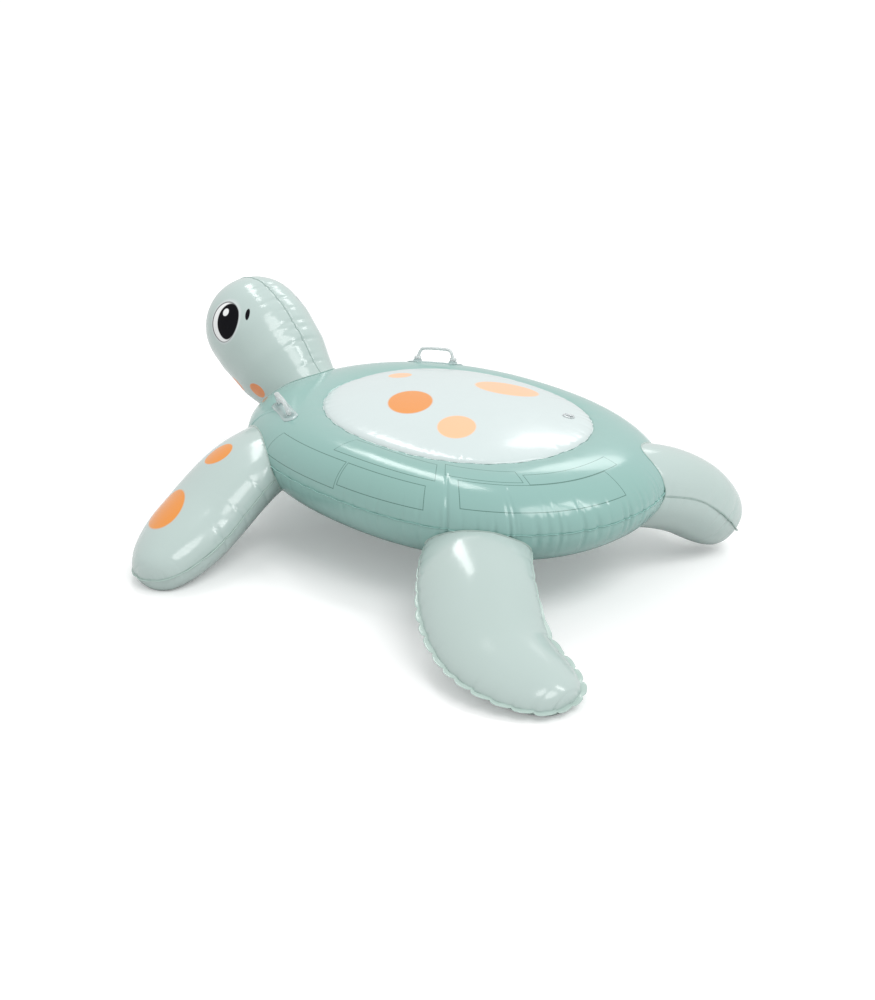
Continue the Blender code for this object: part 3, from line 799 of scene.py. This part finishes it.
def make_flipper(name, film, weld):
    shape = FLIPPERS[name]
    form = flipper_form(shape)
    rear = name.startswith("rear")
    # The seam runs out along one edge of the chord, round the tip, and back along the other
    out_along = lengths_along(form.here + form.across * form.chord[:, None])
    from_root = lengths_along(form.here - form.across * form.chord[:, None])
    total = out_along[-1] + from_root[-1]
    back_along = total - from_root
    seed = sum(ord(letter) for letter in name)
    places = pucker_places(seed, total, *(REAR_PUCKERS if rear else FRONT_PUCKERS), even=rear)
    puckers = places + pucker_places(seed + 1, total, *SMALL_PUCKERS)
    girth = (form.chord + form.thick)[:, None] / 2
    depth = (pucker_depth(puckers, out_along[:, None], form.turn[None, :] * girth)
             + pucker_depth(puckers, back_along[:, None], (np.pi - form.turn[None, :]) * girth))
    # Puckers fade at the very root, and at the tip
    depth *= np.clip(form.t / 0.08, 0, 1)[:, None] * np.clip(form.chord / 0.035, 0, 1)[:, None]
    upper = make_flipper_sheet(name, "upper", form, depth, film)
    lower = make_flipper_sheet(name, "lower", form, depth, film)
    make_flipper_weld(name, upper, form, places, out_along, back_along, weld)
    make_root_weld(name, upper, lower, "flipper_vinyl", weld)


def make_flipper_sheet(name, word, form, depth, film):
    face = 1 if word == "upper" else -1
    bulge = np.abs(np.sin(form.turn)) ** FLIPPERS[name]["edge"]
    grid = (form.here[:, None, :]
            + form.across[:, None, :] * (form.chord[:, None] * np.cos(form.turn)[None, :])[..., None]
            + form.normal[:, None, :] * (face * form.thick[:, None] * bulge[None, :])[..., None])
    surface = grid_normals(grid, False)
    outward = np.sign((surface * (grid - form.here[:, None, :])).sum(2))
    outward[outward == 0] = 1
    surface = surface * outward[..., None]
    # Where the two films meet, both move straight towards the spine, so the weld stays shut
    surface[:, 0], surface[:, -1] = form.across, -form.across
    grid = (grid - surface * depth[..., None]) * form.flip + SHIFT
    grid[..., 2] = np.maximum(grid[..., 2], FLOOR_GAP)
    trimmed = trim_to_shell(grid)
    made = grid_object(f"{name}_flipper_{word}", trimmed, False, film)
    middle = len(form.here) // 2
    face_away(made, form.here[middle] * form.flip + SHIFT - form.normal[middle] * form.flip * 0.12 * face)
    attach(made, "root")
    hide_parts(f"{name}_flipper_{word}_sheet")
    return trimmed


def evenly_spaced(rows, step):
    """Rows of values, each starting with a point, read again at equal steps along the points."""
    length = lengths_along(rows[:, :3])
    places = np.arange(0, length[-1], step)
    return np.stack([np.interp(places, length, column) for column in rows.T], axis=1)


def eased(rows, reach):
    """Each row averaged with those up to reach places away."""
    share = np.ones(2 * reach + 1) / (2 * reach + 1)
    padded = np.pad(rows, ((reach, reach), (0, 0)), "edge")
    return np.stack([np.convolve(column, share, "valid") for column in padded.T], axis=1)


def facing_out(line, outward):
    """The directions turned, if need be, to look away from the line's middle."""
    return -outward if ((line - line.mean(axis=0)) * outward).sum() < 0 else outward


def scallops(name, along, places):
    """Width of a flipper's lip, bulging between its puckers, and its ripple, at distances along the weld."""
    rear = name.startswith("rear")
    marks = np.array(sorted(place for place, *_ in places))
    cell = np.searchsorted(marks, along)
    low = np.where(cell > 0, marks[np.maximum(cell - 1, 0)], along[0] - 0.02)
    high = np.where(cell < len(marks), marks[np.minimum(cell, len(marks) - 1)], along[-1] + 0.02)
    phase = np.clip((along - low) / np.maximum(high - low, MERGE), 0, 1)
    bulge = np.sqrt(np.maximum(0, 1 - (2 * phase - 1) ** 2))
    ends = np.minimum(along - along[0], along[-1] - along)
    outer = np.clip((ends - 0.15) / 0.12, 0, 1)
    width = 0.0030 + outer * (0.0030 + 0.0070 * bulge) if rear else 0.0022 + outer * 0.0030 * bulge
    width = width * np.clip(ends / 0.02, 0.25, 1) * FLIPPERS[name]["lip"]
    return width, 0.0010 * np.sin(2 * np.pi * phase) * outer * (1.0 if rear else 0.5)


def make_flipper_weld(name, grid, form, places, out_along, back_along, material):
    """The welded lip round a flipper, scalloped between its puckers."""
    line = np.concatenate([grid[:, 0], grid[::-1, -1][1:]])
    normal = form.normal * form.flip
    up = np.concatenate([normal, normal[::-1][1:]])
    along = np.concatenate([out_along, back_along[::-1][1:]])
    clear = inside_shell(line) < 0.0005
    even = evenly_spaced(np.column_stack([line, up, along])[clear], 0.002)
    line, up, along = even[:, :3], unit(even[:, 3:6]), even[:, 6]
    outward = facing_out(line, unit(eased(np.cross(unit(np.gradient(line, axis=0)), up), 4)))
    width, ripple = scallops(name, along, places)
    turns = np.linspace(0, 2 * np.pi, 12, endpoint=False)
    overlap, half = 0.0012, 0.0006
    centre = line + outward * (width / 2 - overlap)[:, None] + up * ripple[:, None]
    sections = (centre[:, None, :]
                + outward[:, None, :] * ((width / 2 + overlap)[:, None] * np.cos(turns))[..., None]
                + up[:, None, :] * (half * np.sin(turns))[None, :, None])
    sections[..., 2] = np.maximum(sections[..., 2], 0.0003)
    made = tube_object(f"{name}_flipper_weld", sections, material, False)
    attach(made, "root")


def make_root_weld(name, first, second, slot, material):
    """The bead round a balloon where it is welded to the shell."""
    line = np.concatenate([first[0], second[0][::-1][1:-1]])
    keep = np.linalg.norm(line - np.roll(line, 1, axis=0), axis=1) > 0.0003
    line = line[keep]
    line = (np.roll(line, 1, axis=0) + line * 2 + np.roll(line, -1, axis=0)) / 4
    forward = unit(np.roll(line, -1, axis=0) - np.roll(line, 1, axis=0))
    outward = unit(line - line.mean(axis=0))
    outward = unit(outward - forward * (outward * forward).sum(1, keepdims=True))
    facing = unit(np.cross(forward, outward))
    half_width = np.full(len(line), 0.0030)
    made = ribbon_object(f"{name}_root_weld", line, outward, facing, half_width, 0.0012, material, True)
    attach(made, "root")


def head_form():
    """The neck and head before their puckers: their line, its upper side's direction and their radius."""
    t = np.linspace(0, 1, HEAD_ROWS)
    body = np.minimum(t / NECK_SHARE, 1.0)
    along = directions(NECK_SPINE, body)
    radius = np.interp(body, np.linspace(0, 1, len(NECK_RADII)), NECK_RADII)
    radius = np.convolve(np.pad(radius, 4, "edge"), np.ones(9) / 9, "valid")
    cap = np.maximum(0.0, (t - NECK_SHARE) / (1 - NECK_SHARE)) * np.pi / 2
    here = smooth_points(NECK_SPINE, body) + along * (NECK_RADII[-1] * np.sin(cap))[:, None]
    return here, unit(np.cross(along, [1.0, 0.0, 0.0])), radius * np.cos(cap)


def head_depth(here, normal, radius, turn):
    """Depth of the puckers and of the groove beside the head's seam."""
    nape_along = lengths_along(here + normal * radius[:, None])
    throat_along = lengths_along(here - normal * radius[:, None])
    nape = pucker_places(31, nape_along[-1], *NAPE_PUCKERS)
    throat = pucker_places(32, throat_along[-1], *THROAT_PUCKERS)
    from_nape, from_throat = turn[None, :] * radius[:, None], (np.pi - turn[None, :]) * radius[:, None]
    depth = (pucker_depth(nape, nape_along[:, None], from_nape)
             + pucker_depth(throat, throat_along[:, None], from_throat))
    groove = 0.0002 * np.exp(-(np.minimum(from_nape, from_throat) / 0.004))
    return depth * np.clip(radius / 0.05, 0, 1)[:, None] + groove * np.clip(radius / 0.02, 0, 1)[:, None]


def make_head(film, weld):
    here, normal, radius = head_form()
    turn = np.pi * np.linspace(0, 1, HEAD_COLUMNS)
    depth = head_depth(here, normal, radius, turn)
    panels = []
    for side, word in ((1, "left"), (-1, "right")):
        across = np.array([side, 0.0, 0.0])
        grid = (here[:, None, :]
                + normal[:, None, :] * (radius[:, None] * np.cos(turn)[None, :])[..., None]
                + across * (radius[:, None] * np.sin(turn)[None, :] + 0.0002)[..., None])
        grid = grid - unit(grid - here[:, None, :]) * depth[..., None] + SHIFT
        tuck_under(grid, 26)
        trimmed = trim_to_shell(grid)
        made = grid_object(f"head_{word}", trimmed, False, film)
        face_away(made, here[len(here) // 2] + SHIFT - across * 0.2)
        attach(made, "root")
        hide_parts(f"head_{word}_panel")
        panels.append(trimmed)
    make_head_weld(panels[0], weld)
    make_root_weld("head", *panels, "head_vinyl", weld)


def make_head_weld(grid, material):
    """The thin lip where the head's two panels meet, over the nape, the crown and the throat."""
    line = np.concatenate([grid[:, 0], grid[::-1, -1][1:]])
    line[:, 0] = CENTRE.x
    line = line[inside_shell(line) < 0.0005]
    keep = np.concatenate([[True], np.linalg.norm(np.diff(line, axis=0), axis=1) > 0.0004])
    line = line[keep]
    sideways = np.tile([1.0, 0.0, 0.0], (len(line), 1))
    outward = facing_out(line, unit(np.cross(unit(np.gradient(line, axis=0)), sideways)))
    half_width = np.full(len(line), 0.0015)
    made = ribbon_object("head_weld", line + outward * 0.0002, outward, sideways, half_width, 0.0007,
                         material, False)
    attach(made, "root")


# ---------------------------------------------------------------- handles

def frame_on(origin, normal, toward):
    z = normal.normalized()
    x = (toward - z * toward.dot(z)).normalized()
    turn = Matrix((x, z.cross(x), z)).transposed().to_4x4()
    return Matrix.Translation(origin) @ turn


def handle_frame(side):
    x, y = HANDLE_PLACE
    origin = Vector((x, y, float(ring_height(x, y)) + 0.0008))
    toward = Vector((-math.sin(HANDLE_TURN), math.cos(HANDLE_TURN), 0.0))
    placed = frame_on(origin, ring_normal(x, y), toward)
    if side < 0:
        placed = Matrix.Diagonal((-1.0, 1.0, 1.0, 1.0)) @ placed @ Matrix.Diagonal((1.0, -1.0, 1.0, 1.0))
    return Matrix.Translation(CENTRE) @ placed


def handle_line(shares):
    """The middle of a handle's bar over its pad: up from one foot, along and down to the other."""
    half, corner, shoulder = HANDLE_LENGTH / 2, HANDLE_CORNER, 0.004
    left = [(-half, 0.0), (-half + 0.003, HANDLE_RISE - corner),
            (-half + shoulder + corner * 0.3, HANDLE_RISE - shoulder),
            (-half + shoulder + corner, HANDLE_RISE), (0.0, HANDLE_RISE + 0.001)]
    points = left + [(-x, z) for x, z in reversed(left[:-1])]
    return smooth_points([(x, 0.0, z) for x, z in points], shares)


def remeshed(made, voxel, rounds):
    """Melts a piece's overlapping shapes into one smooth skin."""
    skin = made.modifiers.new("skin", "REMESH")
    skin.mode = "VOXEL"
    skin.voxel_size = voxel
    skin.use_smooth_shade = True
    ease = made.modifiers.new("ease", "SMOOTH")
    ease.factor = 0.5
    ease.iterations = rounds
    bpy.context.view_layer.update()
    graph = bpy.context.evaluated_depsgraph_get()
    data = bpy.data.meshes.new_from_object(made.evaluated_get(graph))
    old = made.data
    made.modifiers.clear()
    made.data = data
    bpy.data.meshes.remove(old)
    data.shade_smooth()
    return made


def cylinder_into(shape, matrix, radius, depth, sides=32):
    bmesh.ops.create_cone(shape, cap_ends=True, segments=sides, radius1=radius, radius2=radius, depth=depth,
                          matrix=matrix)


def make_handle(side, word, material, pad_material):
    placed = handle_frame(side)
    shares = np.linspace(0, 1, 90)
    line = handle_line(shares)
    flat = np.array([0.0, 1.0, 0.0])
    lift = unit(np.cross(flat, unit(np.gradient(line, axis=0))))
    turns = np.linspace(0, 2 * np.pi, 20, endpoint=False)
    middle = np.exp(-((shares - 0.5) / 0.24) ** 4)
    ribs = 0.00035 * np.sin(shares * 2 * np.pi * 26) * middle
    wide = BAR * (1.22 + 0.22 * middle) + ribs
    tall = BAR * (0.92 + 0.06 * middle) + ribs
    sections = (line[:, None, :] + flat * (wide[:, None] * np.cos(turns))[..., None]
                + lift[:, None, :] * (tall[:, None] * np.sin(turns))[..., None])
    made = tube_object(f"handle_loop_{word}", sections, material, False)
    shape = bmesh.new()
    shape.from_mesh(made.data)
    for end in (-1, 1):
        lying = Matrix.Translation((end * HANDLE_LENGTH / 2, 0.0, 0.0)) @ Matrix.Rotation(math.pi / 2, 4, "Y")
        cylinder_into(shape, lying, FOOT_RADIUS - 0.0003, FOOT_LENGTH - 0.0010)
    shape.to_mesh(made.data)
    shape.free()
    remeshed(made, voxel=0.0009, rounds=3)
    made.data.transform(placed @ Matrix.Translation((0.0, 0.0, AXIS_HEIGHT)))
    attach(made, f"handle_{word}")
    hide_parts(f"handle_{word}")
    make_pad(placed, word, pad_material)


def pad_layer(shape, placed, lift):
    """One face of a handle's patch: rings of points from its edge inwards, which follow the shell."""
    radius = PAD_WIDTH / 2
    straight = PAD_LENGTH / 2 - radius
    rows = []
    for share in np.linspace(1, 0.04, 12):
        raised = 0.0010 * math.exp(-(((1 - share) * radius - 0.003) / 0.0016) ** 2)
        thick = PAD_THICKNESS * (0.35 if share == 1 else 1.0) + raised
        row = []
        for angle in np.linspace(0, 2 * np.pi, 96, endpoint=False):
            x = (straight if math.cos(angle) >= 0 else -straight) + radius * math.cos(angle)
            world = placed @ Vector((share * x, share * radius * math.sin(angle), 0.0))
            ground = float(ring_height(world.x - CENTRE.x, world.y - CENTRE.y))
            row.append(shape.verts.new((world.x, world.y, ground + 0.0003 + lift * thick)))
        rows.append(row)
    return rows


def bridge(shape, first, second):
    """Faces between two rings of points."""
    for k in range(len(first)):
        n = (k + 1) % len(first)
        shape.faces.new((first[k], first[n], second[n], second[k]))


def make_pad(placed, word, material):
    """The clear patch under a handle, which follows the shell, with a raised edge and two cradles."""
    shape = bmesh.new()
    layers = [pad_layer(shape, placed, lift) for lift in (0, 1)]
    for rows in layers:
        for first, second in zip(rows, rows[1:]):
            bridge(shape, first, second)
        shape.faces.new(rows[-1])
    bridge(shape, layers[0][0], layers[1][0])
    bmesh.ops.recalc_face_normals(shape, faces=shape.faces)
    data = bpy.data.meshes.new(f"handle_patch_{word}")
    shape.to_mesh(data)
    shape.free()
    data.shade_smooth()
    made = linked(f"handle_patch_{word}", data, material)
    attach(made, "root")
    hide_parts(f"handle_pad_{word}")
    for end, where in ((-1, "front"), (1, "rear")):
        make_cradle(placed, end, where, word, material)


def make_cradle(placed, end, where, word, material):
    """A welded block under one foot of a handle, hollowed to take it and low enough for the bar to fold."""
    hollow = FOOT_RADIUS + FOOT_GAP
    ring = [(hollow * math.cos(a), AXIS_HEIGHT + hollow * math.sin(a))
            for a in np.linspace(math.radians(230), math.radians(310), 15)]
    edge, shoulder = CRADLE_HALF_WIDTH - 0.0007, AXIS_HEIGHT - CRADLE_SHOULDER
    outline = ring + [(edge, shoulder), (CRADLE_HALF_WIDTH, CRADLE_ROOT),
                      (-CRADLE_HALF_WIDTH, CRADLE_ROOT), (-edge, shoulder)]
    half, chamfer = FOOT_LENGTH / 2, 0.001
    sections = []
    for x, grow in ((-half, 0.94), (-half + chamfer, 1.0), (half - chamfer, 1.0), (half, 0.94)):
        sections.append([tuple(placed @ Vector((end * HANDLE_LENGTH / 2 + x, y * grow, z)))
                         for y, z in outline])
    made = tube_object(f"handle_cradle_{word}_{where}", np.array(sections), material, False)
    made.data.set_sharp_from_angle(angle=math.radians(35))
    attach(made, "root")


# ---------------------------------------------------------------- valves

def valve_frame(name):
    """A valve's placement, read from its stopper's joint."""
    joint = next(joint for joint in frame["joints"] if joint["name"] == f"{name}_open")
    normal = VALVE_NORMALS[name]
    toward = Vector(joint["axis"]).cross(normal).normalized()
    rise = FLANGE_TOP + CAP_GAP + PIN_HEIGHT
    return frame_on(Vector(joint["pos_m"]) - toward * STRAP_REACH - normal * rise, normal, toward)


def lathe(name, profile, material, steps=72):
    """Turns a closed outline of (radius, height) points, the first and last on the same side."""
    turns = np.linspace(0, 2 * np.pi, steps, endpoint=False)
    sections = np.array([[(r * math.cos(a), r * math.sin(a), z) for r, z in profile] for a in turns])
    return tube_object(name, sections, material, True)


def rounded_step(radius, low, high, corner):
    """Points of a rim's outer side with its top edge rounded."""
    bend = [(radius - corner + corner * math.cos(a), high - corner + corner * math.sin(a))
            for a in np.linspace(0, math.pi / 2, 6)]
    return [(radius, low)] + bend


def make_valve(name, material):
    placed = valve_frame(name)
    make_flange(name, placed, material)
    make_cap(name, placed, material)


def make_flange(name, placed, material):
    """A valve's stem, its thin flange with a stepped rim and its raised mouth."""
    profile = [(STEM_BORE, -STEM_LENGTH), (STEM_RADIUS, -STEM_LENGTH), (STEM_RADIUS, -0.0008),
               (FLANGE_RADIUS - 0.0004, -0.0006)]
    profile += rounded_step(FLANGE_RADIUS, -0.0002, FLANGE_TOP * 0.6, 0.0006)
    profile += [(FLANGE_RADIUS - 0.0030, FLANGE_TOP * 0.55), (FLANGE_RADIUS - 0.0040, FLANGE_TOP * 0.75),
                (STEM_RADIUS + 0.0008, FLANGE_TOP * 0.80), (STEM_RADIUS + 0.0004, FLANGE_TOP),
                (STEM_BORE, FLANGE_TOP)]
    made = lathe(f"{name}_flange", profile, material)
    made.data.transform(placed)
    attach(made, "root")
    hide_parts(f"{name}_base")


def make_cap(name, placed, material):
    """A valve's stopper: a lipped plug under a round cap, with a pull tab and a strap to its pin."""
    low = FLANGE_TOP + CAP_GAP
    high, tip = low + CAP_THICKNESS, FLANGE_TOP - PLUG_LENGTH
    axis, lip = 0.00001, 0.0034
    profile = [(axis, tip), (PLUG_RADIUS - 0.0005, tip), (PLUG_RADIUS, tip + 0.0006),
               (PLUG_RADIUS, FLANGE_TOP - 0.0022), (lip, FLANGE_TOP - 0.0014), (lip, low)]
    profile += rounded_step(CAP_RADIUS, low, high, 0.0007)
    profile += [(CAP_RADIUS - 0.0018, high - 0.0004), (0.0030, high - 0.0005), (axis, high - 0.0004)]
    made = lathe(f"{name}_cap", profile, material)
    shape = bmesh.new()
    shape.from_mesh(made.data)
    overlap = 0.001
    strap = Matrix.Translation(((CAP_RADIUS - overlap + STRAP_REACH) / 2, 0.0, low + 0.0010))
    strap @= Matrix.Diagonal((STRAP_REACH - CAP_RADIUS + overlap, STRAP_WIDTH, 0.0014, 1.0))
    tab = Matrix.Translation((-CAP_RADIUS - 0.0006, 0.0, low + 0.0012))
    tab @= Matrix.Diagonal((0.0050, 0.0062, 0.0016, 1.0))
    for block in (strap, tab):
        bmesh.ops.create_cube(shape, size=1.0, matrix=block)
    lying = Matrix.Translation((STRAP_REACH, 0.0, low + PIN_HEIGHT)) @ Matrix.Rotation(math.pi / 2, 4, "X")
    cylinder_into(shape, lying, PIN_RADIUS, STRAP_WIDTH * 1.2, 24)
    shape.to_mesh(made.data)
    shape.free()
    remeshed(made, voxel=0.00035, rounds=2)
    made.data.transform(placed)
    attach(made, f"{name}_stopper")
    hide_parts(f"{name}_stopper")


# ---------------------------------------------------------------- studio

WHITE_LIGHT = (1.0, 1.0, 1.0, 1.0)


def seen_or_lit(nodes, links, lit, seen, output):
    """What the camera sees of the studio, and what lights the float, kept apart."""
    path = nodes.new("ShaderNodeLightPath")
    both = nodes.new("ShaderNodeMixShader")
    links.new(path.outputs["Is Camera Ray"], both.inputs[0])
    links.new(lit.outputs[0], both.inputs[1])
    links.new(seen.outputs[0], both.inputs[2])
    links.new(both.outputs[0], nodes[output].inputs["Surface"])


def make_floor():
    made, nodes, links = new_material("studio_floor")
    shader = nodes["Principled BSDF"]
    shader.inputs["Base Color"].default_value = (0.88, 0.88, 0.88, 1.0)
    shader.inputs["Roughness"].default_value = 0.9
    shader.inputs["Specular IOR Level"].default_value = 0.1
    shader.inputs["Emission Color"].default_value = WHITE_LIGHT
    shader.inputs["Emission Strength"].default_value = 0.20
    dull = nodes.new("ShaderNodeBsdfDiffuse")
    dull.inputs["Color"].default_value = (0.74, 0.74, 0.74, 1.0)
    seen_or_lit(nodes, links, dull, shader, "Material Output")
    reach, level = 60.0, -0.0006
    corners = [(x * reach, y * reach, level) for x, y in ((-1, -1), (1, -1), (1, 1), (-1, 1))]
    mesh_object("studio_floor", corners, [(0, 1, 2, 3)], made, smooth=False)


def area_light(name, where, aim, size, power):
    data = bpy.data.lights.new(name, "AREA")
    data.shape = "RECTANGLE"
    data.size, data.size_y = size
    data.energy = power
    light = bpy.data.objects.new(name, data)
    light.location = where
    light.rotation_euler = (Vector(aim) - Vector(where)).to_track_quat("-Z", "Y").to_euler()
    bpy.context.scene.collection.objects.link(light)


def make_studio():
    world = bpy.data.worlds.new("studio")
    world.use_nodes = True
    nodes, links = world.node_tree.nodes, world.node_tree.links
    lit, seen = nodes["Background"], nodes.new("ShaderNodeBackground")
    for light, strength in ((lit, 0.79), (seen, 1.0)):
        light.inputs["Color"].default_value = WHITE_LIGHT
        light.inputs["Strength"].default_value = strength
    seen_or_lit(nodes, links, lit, seen, "World Output")
    scene = bpy.context.scene
    scene.world = world
    scene.view_settings.view_transform = "Standard"
    data = bpy.data.lights.new("key", "SUN")
    data.energy = 0.75
    data.angle = math.radians(30)
    sun = bpy.data.objects.new("key", data)
    sun.rotation_euler = Vector((-0.14, -0.64, -1.0)).to_track_quat("-Z", "Y").to_euler()
    scene.collection.objects.link(sun)
    area_light("overhead", (-0.4, -1.5, 3.3), (0.35, 0.35, 0.2), (0.45, 2.4), 20.0)
    area_light("behind", (-0.9, 2.2, 3.0), (0.0, -0.2, 0.3), (0.6, 1.6), 18.0)
    area_light("far_side", (-2.9, -1.2, 2.7), (0.0, 0.1, 0.2), (1.5, 0.7), 10.0)


def make_camera():
    azimuth, elevation = math.radians(135.5), math.radians(22.9)
    distance = 4.873
    aim = Vector(at(0.013, -0.035, 0.091))
    back = Vector((math.sin(azimuth) * math.cos(elevation), -math.cos(azimuth) * math.cos(elevation),
                   math.sin(elevation)))
    data = bpy.data.cameras.new("camera")
    data.lens = 68.1
    data.sensor_width = 36.0
    camera = bpy.data.objects.new("camera", data)
    camera.location = aim + back * distance
    camera.rotation_mode = "QUATERNION"
    camera.rotation_quaternion = (-back).to_track_quat("-Z", "Y")
    bpy.context.scene.collection.objects.link(camera)
    bpy.context.scene.camera = camera


# ---------------------------------------------------------------- the float

# Printed outlines: middle and half sizes, along the seam from the turtle's left and up from it
PANELS = (
    (0.160, 0.066, 0.132, 0.030),
    (-0.130, 0.060, 0.150, 0.036),
    (0.130, 0.148, 0.188, 0.032),
    (0.605, 0.094, 0.218, 0.040),
    (0.460, 0.168, 0.112, 0.024),
    (0.735, 0.156, 0.148, 0.020),
)
WELD_ROUGHNESS = 0.22


def times(colour, share):
    return tuple(c * share for c in colour)


def make_shell():
    plain = vinyl("belly_vinyl", RING_COLOUR, RING_TINT)
    top, grid = make_ring_top(vinyl("ring_vinyl", RING_COLOUR, RING_TINT, panels=PANELS))
    bottom = make_ring_bottom(plain)
    dome_film = vinyl("dome_vinyl", DOME_COLOUR, times(DOME_COLOUR, 1.03), 0.20, DOME_SPOTS)
    dome, edge = make_dome(dome_film)
    lip = vinyl("weld_vinyl", times(RING_COLOUR, 1.25), times(RING_TINT, 1.25), WELD_ROUGHNESS)
    pale_lip = vinyl("dome_weld_vinyl", (0.60, 0.72, 0.70), (0.64, 0.76, 0.74), WELD_ROUGHNESS)
    welds = (make_equator_weld(lip, grid[0]), make_dome_weld(pale_lip, edge))
    for made, node, slot in ((top, "shell_top_sheet", "ring_vinyl"),
                             (bottom, "shell_bottom_sheet", "ring_vinyl"),
                             (dome, "seat_dome_sheet", "dome_vinyl")):
        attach(made, "root")
        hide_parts(node)
    for made, slot in zip(welds, ("ring_vinyl", "dome_vinyl")):
        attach(made, "root")
    for place in frame["nodes"]["chamber_wall"].material_slots:
        place.material = plain


def main():
    make_camera()
    make_floor()
    make_studio()
    make_shell()
    weld = vinyl("flipper_weld_vinyl", (0.42, 0.55, 0.50), (0.46, 0.58, 0.54), WELD_ROUGHNESS)
    for name in FLIPPERS:
        film = vinyl(f"{name}_flipper_vinyl", PALE_COLOUR, PALE_TINT, spots=SPOT_PLACES[name])
        make_flipper(name, film, weld)
    head_weld = vinyl("head_weld_vinyl", times(PALE_COLOUR, 1.15), times(PALE_TINT, 1.15), WELD_ROUGHNESS)
    make_head(vinyl("head_vinyl", PALE_COLOUR, PALE_TINT, spots=HEAD_MARKS), head_weld)
    handle = clear_vinyl("handle_vinyl", (0.76, 0.81, 0.81), 0.13, 0.45)
    pad = clear_vinyl("pad_vinyl", (0.52, 0.66, 0.65), 0.14, 0.30)
    make_handle(1, "left", handle, pad)
    make_handle(-1, "right", handle, pad)
    valve = clear_vinyl("valve_vinyl", (0.70, 0.76, 0.77))
    make_valve("seat_valve", valve)
    make_valve("shell_valve", valve)


main()
